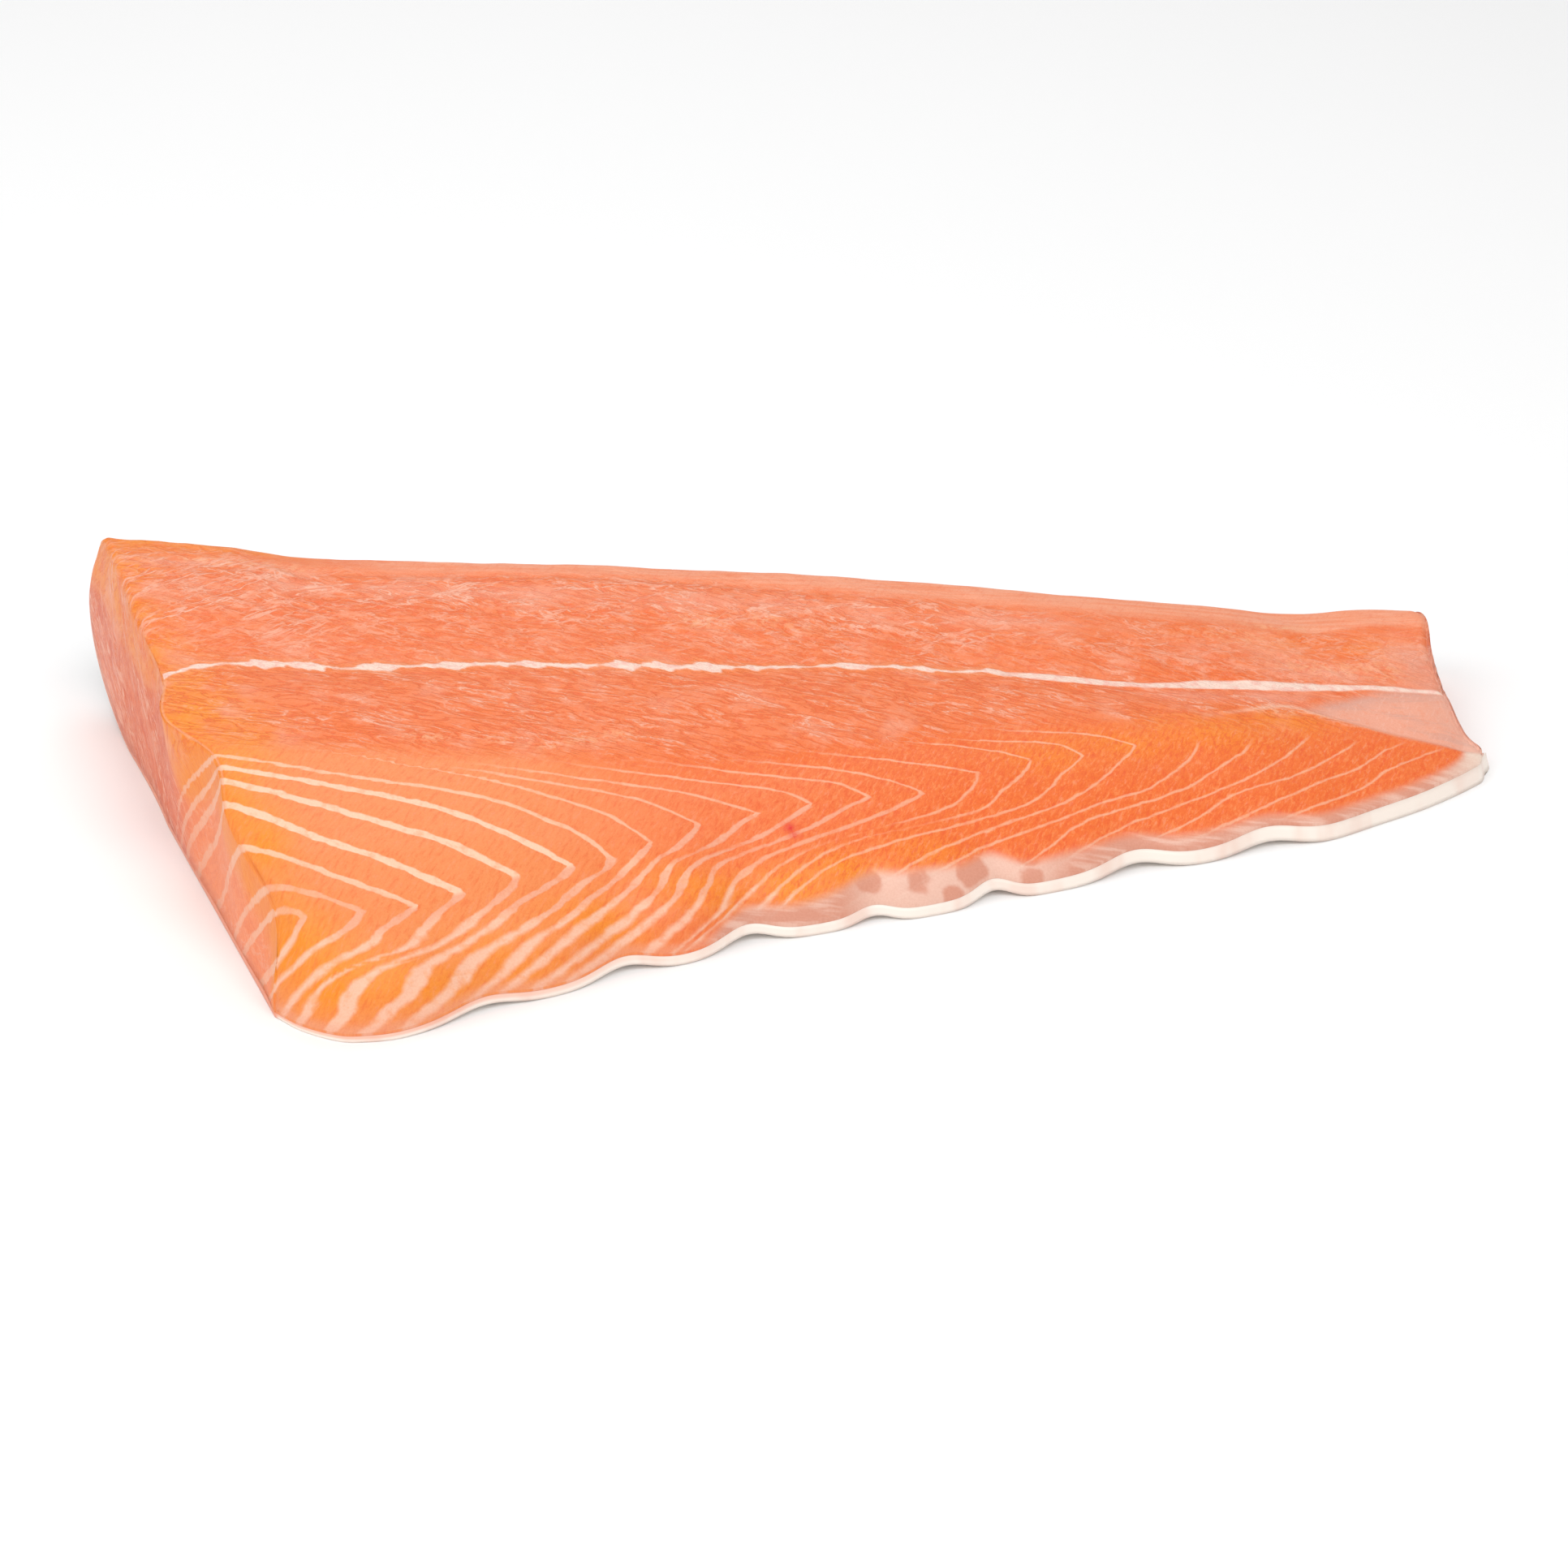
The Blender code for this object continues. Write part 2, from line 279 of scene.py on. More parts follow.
def writeField(mesh, name, values):     # a number or a place for each vertex, for the material
    values = np.asarray(values, np.float32)
    kind, key = ("FLOAT", "value") if values.ndim == 1 else ("FLOAT_VECTOR", "vector")
    mesh.attributes.new(name, kind, "POINT").data.foreach_set(key, values.ravel())


def noiseAt(points, size, seed):        # soft noise from -1 to 1, its lumps about size across
    scaled = points / np.array(size) + np.array((seed, -seed, 2 * seed))
    return np.array([noise.noise(Vector(p)) for p in scaled])


# The white lines. Lengths from here to the materials are millimetres, but for the relief's. Places are
# (x, across), where across is measured along the surface from the seam, so the steep flank is unrolled.
chevrons = {
    # how far a line lies behind its tip, at these distances above it along a slope of a quarter
    "above": (0, 5, 10, 20, 34, 50),
    # and at these below it
    "below": (0, 3, 6, 10, 15, 20, 26, 34, 50),
    # line, its tip's x and across, then the upper arm and the lower arm
    "rows": (
        (-6, -190, -50, 0, 5, 12, 27, 46, 68, 0, 3, 7, 13, 20, 28, 38, 50, 76),
        (1, -105, -65, 0, 5, 12, 27, 46, 68, 0, 3, 7, 13, 20, 28, 38, 50, 76),
        (2, -94, -64.5, 0, 7, 14, 27, 45, 66, 0, 2, 6, 16, 25, 33, 42, 54, 76),
        (3, -83.5, -62.5, 0, 7.5, 14.5, 27, 44, 64, 0, 3, 6.5, 10, 21, 27, 34, 44, 66),
        (4, -74.5, -58.5, 0, 7, 13.5, 27.5, 43, 62, 0, 3, 5.5, 8.5, 13, 27, 32, 42, 62),
        (5, -63.5, -53, 0, 6.5, 12.5, 27.5, 48, 70, 0, 1.5, 4, 8, 12.5, 19, 31, 36, 56),
        (6, -52.5, -49, 0, 6.5, 12.5, 26, 51.5, 80, 0, 2, 6, 11, 16, 22, 29, 34.5, 52),
        (7, -44.5, -46, 0, 4, 9.5, 24, 54, 84, 0, 1, 5, 9, 13.5, 20, 28, 33.5, 50),
        (8, -36, -41.5, 0, 4.5, 9.5, 26, 51, 84, 0, 2.5, 5, 8, 14, 18, 25.5, 32.5, 48),
        (9, -26, -35.5, 0, 6.5, 14, 37.5, 68, 100, 0, 2, 4.5, 9.5, 13, 18, 24.5, 32.5, 50),
        (10, -13.5, -31, 0, 9.5, 20.5, 47.5, 80, 115, 0, 4, 6.5, 11, 19, 21, 26, 34.5, 52),
        (11, -2, -27.5, 0, 7.5, 22.5, 50, 85, 120, 0, 3.5, 7, 12.5, 21.5, 27.5, 30, 38.5, 56),
        (12, 10, -24.5, 0, 7, 22.5, 50, 85, 120, 0, 4.5, 8.5, 14, 23.5, 32.5, 35.5, 41, 58),
        (13, 22, -22.5, 0, 8, 19, 50, 88, 125, 0, 4.5, 9, 16.5, 26.5, 35.5, 42, 46, 62),
        (14, 34, -15.5, 0, 14, 30, 60, 95, 130, 0, 1, 3, 7, 17, 30.5, 41.5, 50.5, 66),
        (15, 46, -10.5, 0, 10, 26, 58, 95, 130, 0, 1.5, 4, 8, 12.5, 24.5, 41, 52.5, 68),
        (16, 57.5, -8, 0, 7.5, 31.5, 62, 98, 135, 0, 2.5, 5.5, 8.5, 14, 24, 39, 56.5, 74),
        (17, 69.5, -3.5, 0, 10.5, 31, 62, 98, 135, 0, 2, 4.5, 8, 13.5, 21, 33, 47.5, 70),
        (18, 83.5, -1.5, 0, 9, 26, 55, 90, 125, 0, 1.5, 3.5, 7.5, 13.5, 24.5, 35.5, 52, 74),
        (19, 95, -0.5, 0, 9, 26, 55, 90, 125, 0, 2, 5.5, 10.5, 17, 27, 40, 49.5, 70),
        (20, 109, 4, 0, 9, 26, 55, 90, 125, 0, 2.5, 5, 9.5, 16, 24.5, 36.5, 51, 72),
        (21, 119.5, 3.5, 0, 9, 26, 55, 90, 125, 0, 3, 7, 12, 20, 31.5, 39, 52, 74),
        (22, 130.5, 4.5, 0, 9, 26, 55, 90, 125, 0, 5, 8.5, 13, 22, 29.5, 40, 54, 76),
        (23, 139, 4, 0, 9, 26, 55, 90, 125, 0, 5, 10, 16, 21.5, 30, 41, 55, 76),
        (28, 190, -6, 0, 9, 26, 55, 90, 125, 0, 5, 10, 16, 21.5, 30, 41, 55, 76)),
    # line, width of its upper arm, of its lower arm, and of its stripe down the flank
    "width": ((0, 1.2, 1.6, 1.6), (3, 1.3, 1.6, 1.6), (4, 1.8, 1.6, 1.9), (5, 1.8, 1.6, 3.4),
              (6, 1.6, 1.5, 3.2), (7, 1.0, 1.4, 2.8), (8, 0.8, 1.3, 3.0), (9, 0.7, 1.2, 3.0),
              (11, 0.6, 1.1, 2.0), (12, 0.6, 1.0, 1.6), (13, 0.6, 0.8, 1.3), (14, 0.55, 0.65, 1.2),
              (18, 0.5, 0.55, 0.7), (23, 0.45, 0.5, 0.6)),
    # line, how far behind its tip its upper arm still shows
    "armReach": ((0, 130), (7, 100), (8, 60), (10, 50), (12, 40), (14, 34), (17, 30), (23, 30)),
    # where the upper arms fade into the fibres: x, across
    "fade": ((-135, -13), (-120, -15), (-95, -17), (-60, -18), (-30, -18), (0, -13), (26, -6), (40, -1),
             (70, 2), (110, 6)),
    "cutSlant": 0.80,                   # how far a line runs towards the back for each unit down the wide cut
    "cutWiden": 1.0,                    # and its width there, beside that on the top
    "armSlope": 0.25,                   # the slope of the distances above
    "farArm": 120,                      # the arms go straight on to here
    "gridX": (-180, 170), "gridY": (-105, 90), "step": 0.5, "lineStep": 0.25,
    "gapRange": (1.5, 30),              # least and greatest distance from line to line
}


def chevronGrid():                      # which line a place is on, with parts between, over a flat grid
    c = chevrons
    step, far, slope = c["step"], c["farArm"], c["armSlope"]
    xs, ys = np.arange(*c["gridX"], step), np.arange(*c["gridY"], step)
    x, y = (g.ravel() for g in np.meshgrid(xs, ys, indexing="ij"))
    rows = np.array(c["rows"], float)
    lines = np.arange(rows[0, 0], rows[-1, 0] + 0.01, c["lineStep"])
    parts = np.array([np.interp(lines, rows[:, 0], column) for column in rows.T[1:]])
    tipX, tipY = parts[:2]
    last, end = c["above"][-2:]         # as below's last two
    arms = [np.vstack((arm, arm[-1] + (arm[-1] - arm[-2]) * (far - end) / (end - last)))
            for arm in np.split(parts[2:], [len(c["above"])])]
    fine = np.arange(0, far + 0.1, step)
    behind = np.empty((len(lines), len(x)), np.float32)
    for i in range(len(lines)):
        rise = (y - slope * x) - (tipY[i] - slope * tipX[i])
        shapes = (np.column_stack((c[side] + (far,), arm[:, i]))
                  for side, arm in zip(("above", "below"), arms))
        upper, lower = (np.interp(run, fine, readCurve(shape, fine)[0])
                        for run, shape in zip((rise, tipY[i] - y), shapes))
        behind[i] = tipX[i] - np.where(rise > 0, upper, lower)
    behind = np.maximum.accumulate(behind, 0)
    i = np.clip((behind < x).sum(0) - 1, 0, len(lines) - 2)
    columns = np.arange(len(x))
    before, after = behind[i, columns], behind[i + 1, columns]
    line = lines[i] + c["lineStep"] * np.clip((x - before) / np.maximum(after - before, 1e-4), 0, 1)
    line = line.reshape(len(xs), len(ys))
    steepness = np.hypot(*np.gradient(line, step))
    return xs, ys, line, np.clip(1 / np.maximum(steepness, 0.02), *c["gapRange"])


def readGrid(xs, ys, x, y, *grids):     # values between a grid's points
    fx = np.clip((x - xs[0]) / (xs[1] - xs[0]), 0, len(xs) - 1.001)
    fy = np.clip((y - ys[0]) / (ys[1] - ys[0]), 0, len(ys) - 1.001)
    i, j = fx.astype(int), fy.astype(int)
    a, b = fx - i, fy - j
    return [g[i, j] * (1 - a) * (1 - b) + g[i + 1, j] * a * (1 - b) + g[i, j + 1] * (1 - a) * b
            + g[i + 1, j + 1] * a * b for g in grids]


def unroll(u, v, skin=False):           # x and place across, then the rim's, the seam's and the back's
    us, vs = np.linspace(0, 1, 121), np.linspace(0, 1, 301)
    uu, vv = (g.ravel() for g in np.meshgrid(us, vs, indexing="ij"))
    surface = skinPoints(uu, vv, np.zeros(uu.size)) if skin else fleshPoints(uu, vv, np.ones(uu.size))
    spot = surface[0].reshape(len(us), len(vs), 3) * 1000
    steps = np.hypot(np.diff(spot[:, :, 1], axis=1), np.diff(spot[:, :, 2], axis=1))
    run = np.concatenate((np.zeros((len(us), 1)), np.cumsum(steps, axis=1)), 1)
    atSeam = int(round(form["seamShare"] * (len(vs) - 1)))
    across = spot[:, atSeam:atSeam + 1, 1] - (run - run[:, atSeam:atSeam + 1])
    marked = [np.repeat(across[:, i:i + 1], len(vs), 1) for i in (len(vs) - 1, atSeam, 0)]
    return readGrid(us, vs, u, v, spot[:, :, 0], across, *marked)


# Places of the flesh's other marks: (x, across), as the lines above.
marks = {
    # golden patches: x, across, half length, half width, strength
    "gold": ((-136, 72, 20, 8, 1.0), (-112, 68, 16, 5, 0.7), (-143, 53, 7, 6, 1.0), (-150, 60, 8, 10, 1.0),
             (-150, 42, 9, 11, 1.0), (-146, 22, 8, 8, 0.9), (-143, 36, 9, 9, 0.95), (-139, 24, 10, 8, 0.8),
             (-131, 12, 10, 9, 0.8), (-127, -4, 11, 12, 1.0), (-117, -14, 9, 9, 0.6), (-118, -30, 7, 14, 0.8),
             (-113, -46, 6, 10, 0.9), (-112, -64, 6, 6, 0.9), (-108, -70, 9, 6, 1.0), (-100, -79, 9, 7, 1.0),
             (-84, -79, 14, 6, 0.85), (-64, -71, 13, 6, 0.8), (-48, -61, 11, 6, 0.8), (-26, -51, 14, 5, 0.7),
             (-7, -48, 9, 4, 1.0), (5, -43, 9, 4, 0.9), (21, -38, 9, 4, 0.5), (48, -10, 9, 4, 0.5),
             (64, -4, 12, 4, 0.6), (85, 2, 14, 5, 0.7), (104, 8, 12, 4, 0.6), (110, 36, 11, 5, 0.3),
             (132, 38, 9, 4, 0.3)),
    # pale patches, rosy film and lumps on the lines, as the golden patches
    "pale": ((-79, -12.5, 5, 1.6, 0.8), (-65, -12.6, 4, 1.6, 0.7), (-55, -14.7, 4, 1.4, 0.7),
             (-47.5, -11.8, 5, 2.0, 0.8), (-40, -9.4, 4, 2.0, 0.6), (-19.5, 36, 5, 2.5, 0.9),
             (-5, 36.7, 4, 2.5, 0.7), (2, 34.2, 5, 2.0, 0.6), (-126, 59.5, 12, 0.8, 1.0),
             (-112, 57, 14, 2.5, 0.7), (112, 45.5, 9, 1.5, 0.9), (100, 40, 16, 3.0, 0.5),
             (118, 30, 12, 2.5, 0.7), (132, 31, 6, 5.0, 0.5), (103, 11.5, 6, 1.2, 0.9)),
    "rosy": ((104, 34, 14, 4, 0.6), (118, 29, 13, 3.5, 0.9), (137, 32, 6, 9, 0.9), (86, 15.5, 12, 2.5, 0.6),
             (100, 17, 10, 2.5, 0.8), (-128, 57.5, 14, 1.6, 0.6), (-96, 48, 24, 2.5, 0.5),
             (-60, 46, 22, 3, 0.5), (-10, 43, 26, 3, 0.5), (45, 40, 26, 3, 0.5)),
    "knots": ((-41, -47, 3.0, 2.2, 1.0), (-38.5, -50, 2.6, 1.8, 0.8), (-33.5, -47.5, 3.4, 2.2, 1.0),
              (-28.5, -49.5, 3.0, 1.8, 0.9), (-51, -53, 3, 2, 0.5), (-18, -46, 3, 1.6, 0.5)),
    # small red fleck, as the golden patches
    "fleck": ((-7.4, -34.4, 1.1, 1.2, 1.0), (-6.6, -36.4, 0.9, 0.8, 0.8)),
    # the rim's soft pink fat: x, how far in from the rim it reaches
    "fat": ((-120, 0), (-32, 0), (-20, 2.6), (-5, 4.5), (5, 6.0), (20, 7.0), (32, 5.0), (42, 4.0), (52, 4.4),
            (66, 2.6), (80, 3.0), (95, 1.8), (110, 2.2), (130, 2.2), (142, 2.8), (147, 5.0), (152, 7)),
    # the seam: x, across, width
    "seam": ((-145, 11, 1.2), (-133, 14, 1.6), (-124, 17.8, 1.8), (-110, 18.2, 2.6), (-86, 17.3, 2.4),
             (-55, 18.8, 2.2), (-40, 18.6, 2.8), (-23, 18.7, 2.8), (-11, 19.3, 2.2), (4, 20.8, 1.2),
             (14, 21.6, 1.8), (29, 21.9, 1.5), (39, 21.8, 1.4), (48, 21.0, 2.6), (62, 19.8, 2.6),
             (76, 19.4, 2.0), (92, 21.2, 3.4), (110, 22.5, 3.1), (122, 23.4, 2.1), (138, 24.3, 1.2),
             (152, 25.0, 0.7)),
    # how far up from the rim the wide pale stripes reach: x, length
    "flank": ((-112, 22), (-85, 21), (-55, 15), (-25, 11), (0, 7), (20, 5)),
    # crease below the smooth far edge: x, across
    "crease": ((-150, 62), (-134, 60), (-116, 58), (-99, 54.5), (-64, 54), (-18, 52), (6, 49), (42, 46),
               (78, 44), (97, 45.0), (109, 44.8), (118, 43.6), (128, 45.6), (138, 46.2), (152, 44)),
    # how far the top's colours hang down the wide cut: place across, length
    "hang": ((-90, 8), (-40, 8), (-20, 9), (-12, 15), (-6, 15), (0, 9), (8, 5), (13, 2.5), (16, 4), (24, 9),
             (34, 12), (62, 13), (75, 15)),
    # pale line under the membrane at the tail: x, across
    "ridge": ((60, -1), (80, 6.3), (93, 9.6), (106, 14.0), (112, 12.0), (125, 7.6), (135.5, 5), (143, 4),
              (152, 4.5)),
    # membrane's upper edge: x, across
    "membraneTop": ((106, 13), (117, 18), (129, 23.3), (141, 25.5), (152, 26)),
}


def around(x, y, spots):                # soft patches, joined
    clear = np.ones_like(x)
    for cx, cy, halfX, halfY, strength in spots:
        clear *= 1 - strength * np.exp(-(((x - cx) / halfX) ** 2) - ((y - cy) / halfY) ** 2)
    return 1 - clear


fleshPiece = {
    "cells": (330, 160, 14),
    "endSpacing": 0.3,                  # how much finer the cells are at the cuts
    "topSpacing": 1.75,                 # and towards the top
    "cutRound": 0.0014, "tailRound": 0.0026,  # rounding of the cuts' edges
    # relief in metres
    "pillow": 0.00022,                  # how far the flesh stands up between two lines
    "strands": 0.00020,                 # of the fibres
    "seamDip": 0.0005, "seamRidge": 0.0003,
    "creaseDip": 0.0003, "wedgeDip": 0.0006,
    "waves": 0.0005,
    "edgeReach": 0.002,                 # it fades over this towards the cuts' edges
    # lumps of its noise, and the cosine and sine that the strands are turned by
    "strandSize": (9.0, 2.2, 4.0), "strandTurn": (0.94, 0.34), "fineSize": (3.0, 1.2, 1.5),
    "waveSize": (26.0, 14.0, 14.0), "lumpSize": 7.0,
    "lineEnd": 143, "tailX": 152,       # where the lines stop, and the tail cut's x
}


def shapeFlesh(block):                  # carries the block's points to the fillet, and rounds the cuts' edges
    p = fleshPiece
    at = SimpleNamespace()
    at.u = block[:, 0] - p["endSpacing"] / (2 * np.pi) * np.sin(2 * np.pi * block[:, 0])
    at.v = 1.0 - block[:, 1]
    at.onTop, at.onCut, at.onTail = block[:, 2] > 0.999, block[:, 0] < 0.001, block[:, 0] > 0.999
    spot, top, across, s = fleshPoints(at.u, at.v, 1 - (1 - block[:, 2]) ** p["topSpacing"])
    depth = np.where(at.onTop, 0.0, np.linalg.norm(top - spot, axis=1))
    spot[:, 0] -= cornerDraw(at.u, across, s)
    ends = ((at.onCut, at.u, p["cutRound"], 1), (at.onTail, 1 - at.u, p["tailRound"], -1))
    for end, share, radius, sign in ends:
        run = form["length"] * share
        near = np.where(at.onTop, run, np.where(end, depth, 1.0))
        turn = np.pi / 4 * np.select([at.onTop & ~end, at.onTop], [1 - near / radius, 1.0], 1 + near / radius)
        rounded = (at.onTop | end) & (near < radius)
        spot[:, 0] += np.where(rounded, sign * (radius * (1 - np.sin(turn)) - np.where(at.onTop, run, 0)), 0)
        spot[:, 2] -= np.where(rounded, radius * (1 - np.cos(turn)) - np.where(at.onTop, 0, depth), 0)
    at.spot, at.depth = spot, depth * 1000
    at.run = form["length"] * np.where(at.u < 0.5, at.u, 1 - at.u)
    at.x, at.y, rimY = unroll(at.u, at.v)[:3]
    at.toRim = at.y - rimY
    return at


def markLines(at):                      # the white line that each point is near, and how it looks there
    c = chevrons
    x, y, onCut = at.x, at.y, at.onCut
    xs, ys, lineGrid, gapGrid = chevronGrid()
    # a point of the wide cut has the line of the top edge that a slanting way up leads to
    downCut = at.spot[:, 1] + c["cutSlant"] * at.spot[:, 2]
    lip = np.flatnonzero(onCut & at.onTop)
    lip = lip[np.argsort(downCut[lip])]
    lineX, lineY = (np.where(onCut, np.interp(downCut, downCut[lip], f[lip]), f) for f in (x, y))
    line, gap = readGrid(xs, ys, lineX, lineY, lineGrid, gapGrid)
    rows = np.array(c["rows"], float)
    tipX, tipY = (np.interp(line, rows[:, 0], rows[:, i]) for i in (1, 2))
    upper = (lineY - c["armSlope"] * x) > (tipY - c["armSlope"] * tipX)
    flankReach = readCurve(marks["flank"], x)[0]
    steep = np.where(at.onTop, between(at.toRim, flankReach, flankReach - 7), 0) * between(x, 20, -10)
    widthUp, widthLow, widthFlank = readCurve(c["width"], line)
    fade = readCurve(c["fade"], x)[0]
    knots = around(x, y, marks["knots"]) * ~upper
    width = np.where(upper, widthUp, mix(widthLow, widthFlank, steep) + 1.6 * knots)
    width = np.minimum(width, mix(0.38, 0.45, steep) * gap)
    bold = between(line, 2.4, 3.6) * between(line, 7.4, 6.2)
    lower = mix(mix(0.85, 0.52, between(line, 11, 14.5)), 0.9, steep)
    white = np.where(onCut, 1.0, np.where(upper, 0.62 + 0.38 * bold, lower))
    armReach = readCurve(c["armReach"], line)[0]
    white *= np.where(upper, 1 - between(lineY, fade - 3, fade + 4), 1)
    white *= np.where(upper, between(tipX - x, armReach + 12, armReach - 14), 1)
    white *= 1 - between(line, 17.2, 17.8) * between(lineY - tipY, -3, 1)
    white *= between(line, 0.4, 0.6) * between(x, 149, fleshPiece["lineEnd"]) * between(gap, 1.5, 2.4)
    white *= np.where(at.onTail, 0, 1) * np.where(onCut, mix(0.90, 0.50, np.clip(at.depth / 30, 0, 1)), 1)
    pinkUp = 0.6 * between(line, 3.2, 2.2) + 0.25 * between(line, 7, 9)
    pink = np.where(upper, pinkUp, mix(0.9, 0.0, between(line, 12, 15)))
    shoulder = np.maximum(4 * steep * (1 - steep), knots)
    at.line, at.gap, at.white = line, gap, np.maximum(white, np.where(upper, white, 0.95 * shoulder))
    at.lineY, at.fade = lineY, fade
    return dict(line=line, lineGap=gap, lineWidth=np.where(onCut, width * c["cutWiden"], width),
                lineWhite=at.white, linePink=np.where(onCut, 0.45, pink * (1 - 0.6 * shoulder)),
                lineSoft=0.20 + 0.4 * steep, flankLine=steep)


def markSurface(at):                    # the other marks, each 0 to 1 unless it is a distance
    x, y, onTop, onCut, toRim = at.x, at.y, at.onTop, at.onCut, at.toRim
    crease, fatReach, hang, ridge, wedge = (
        readCurve(marks[name], place)[0]
        for name, place in (("crease", x), ("fat", x), ("hang", y), ("ridge", x), ("membraneTop", x)))
    seam, at.seamWidth = readCurve(marks["seam"], x)
    at.fromSeam, at.fromCrease = y - seam, y - crease
    dorsal, fromCrease = y > seam, at.fromCrease
    m = {name: around(x, y, marks[name]) for name in ("gold", "pale", "rosy", "fleck")}
    m["fat"] = between(toRim, fatReach + 1.4, fatReach - 1.6) * between(fatReach, 0.5, 2.0)
    membrane = (between(x, 104, 116) * between(y, ridge - 0.5, ridge + 1.2)
                * between(y, wedge + 1, wedge - 2.5))
    overTail = between(x, 132, 143) * between(y, 43, 36) * between(y, ridge, ridge + 2)
    m["membrane"] = membrane = np.maximum(membrane, 0.45 * overTail)
    m["ridgeLine"] = 0.8 * bell(y - ridge, 0.6) * between(x, 84, 104) * between(x, 146, 112)
    belowFade = between(at.lineY, at.fade + 5, at.fade - 4) * (1 - membrane)
    net = mix(0.25, 1.0, between(fromCrease, 2.5, -2.0)) * mix(1.0, 0.45, between(fromCrease, -12, -24))
    net = np.where(dorsal, net, 0) * mix(1.0, 0.6, between(x, 20, 60))
    m["net"] = np.maximum(net, 0.7 * between(x, -106, -120) * between(y, 56, 60))
    inFan = between(fromCrease, 4, 1) * between(fromCrease, -40, -22)
    m["fan"] = np.where(dorsal, 0.9, 0) * between(x, -84, -112) * inFan
    m["streaks"] = np.where(dorsal, 0.8 * between(fromCrease, -4, -14), mix(1.0, 0.0, belowFade))
    m["streaks"] *= 1 - membrane
    m["hair"] = belowFade * mix(0.3, 1.0, between(x, -60, 20)) * (1 - m["fat"])
    soft = mix(4.0, 1.0, between(x, 95, 120))
    m["strip"] = np.where(dorsal, between(fromCrease, -0.25 * soft, soft), 0) * between(x, -112, -70)
    m["deep"] = np.maximum.reduce((
        bell(at.lineY - at.fade + 1, 5.5) * between(x, -118, -95) * between(x, 60, 25),
        belowFade * between(x, -30, 40) * between(toRim, 0, 8),
        0.7 * between(x, 60, 100) * between(fromCrease, 0, -2) * (1 - membrane)))
    m["light"] = belowFade * between(x, -20, -70)
    m["overHang"] = np.where(onCut, at.depth - hang, -20)
    m["fromEdge"] = np.where(onTop, np.minimum(at.run * 1000, 20), at.depth)
    # painted highlight along the wide cut's top edge, on the belly side of the seam
    m["edgeHighlight"] = between(y, 14.5, 13) * between(y, -34, -22) * between(x, -60, -90)
    m["tailFace"] = np.where(at.onTail, 1.0, 0.0)
    m["frontCut"] = np.where(onCut, between(y, 4, -16), 0)
    m["fromTail"] = fleshPiece["tailX"] - x
    m["lobes"] = between(x, 0, 10) * between(x, 56, 40)
    m["upTop"] = between(y, wedge - 7, wedge - 1)
    # the seam is on the top alone, and no false one comes where its side changes down a cut
    m["fromSeam"] = np.where(onTop, at.fromSeam, 50 * np.sign(at.fromSeam))
    m["seamHalf"], m["ragged"] = at.seamWidth / 2, between(x, 52, 40)
    m["blush"] = between(toRim, 2.8, 0.5) * np.where(onTop, 1, 0.5)
    return m


def reliefOf(at, m):                    # how far each point stands out, in metres
    p = fleshPiece
    seen = at.onTop | at.onCut | at.onTail
    pts, x, onTop = at.spot[seen] * 1000, at.x[seen], at.onTop[seen]
    cos, sin = p["strandTurn"]
    px, py, pz = pts.T
    turned = np.column_stack((px * cos - py * sin, px * sin + py * cos, pz))
    strands = 1 - 2 * np.abs(noiseAt(turned, p["strandSize"], seed=3.1))
    strands = strands + 0.6 * noiseAt(pts, p["fineSize"], seed=9.4)
    waves = noiseAt(pts, p["waveSize"], seed=5.2) + 0.4 * noiseAt(pts, p["lumpSize"], seed=1.7)
    offLine = np.abs((at.line - np.round(at.line)) * at.gap)[seen]
    offSeam, halfSeam = at.fromSeam[seen], at.seamWidth[seen] / 2
    ridge = bell(offSeam, halfSeam + 0.4) - bell(offSeam, 6.0) * p["seamDip"] / p["seamRidge"]
    crease = -bell(at.fromCrease[seen], 1.6) * between(x, -125, -95) * between(x, 40, 0)
    amount = np.zeros(len(at.x))
    amount[seen] = (p["strands"] * strands * (m["net"] + m["streaks"])[seen] + p["waves"] * waves
                    + p["pillow"] * (-bell(offLine, 1.1) * at.white[seen])
                    + p["seamRidge"] * ridge * onTop * between(x, 146, 120)
                    + p["creaseDip"] * crease + p["wedgeDip"] * -m["membrane"][seen])
    # none at the rim, the back's edge and the cuts' edges
    amount *= between(at.toRim, 0, 4) * between(at.v, 0, form["cornerShare"]) * np.where(at.onTop, 1, 0.6)
    reach = p["edgeReach"]
    return amount * np.where(at.onTop, between(at.run, 0, reach), between(at.depth, 0, reach * 1000))


def makeFlesh():
    mesh = blockMesh("fleshMeat", fleshPiece["cells"])
    at = shapeFlesh(readVerts(mesh))    # what is known of each point, in millimetres but for spot and run
    fields = markLines(at)
    print("lines placed on", len(at.line), "points")
    fields.update(markSurface(at))
    print("marks placed")
    mesh.vertices.foreach_set("co", at.spot.astype(np.float32).ravel())
    mesh.update()
    placeVerts(mesh, at.spot + readVerts(mesh, "normal") * reliefOf(at, fields)[:, None])
    chartX = at.x - np.where(at.onCut, at.depth, 0) + np.where(at.onTail, at.depth, 0)
    writeField(mesh, "chart", np.column_stack((chartX, at.y, np.zeros_like(at.y))))
    for name, values in fields.items():
        writeField(mesh, name, values)
    return finishPiece("fleshMeat", mesh, "flesh")


def link(name, data):
    obj = bpy.data.objects.new(name, data)
    bpy.context.scene.collection.objects.link(obj)
    return obj


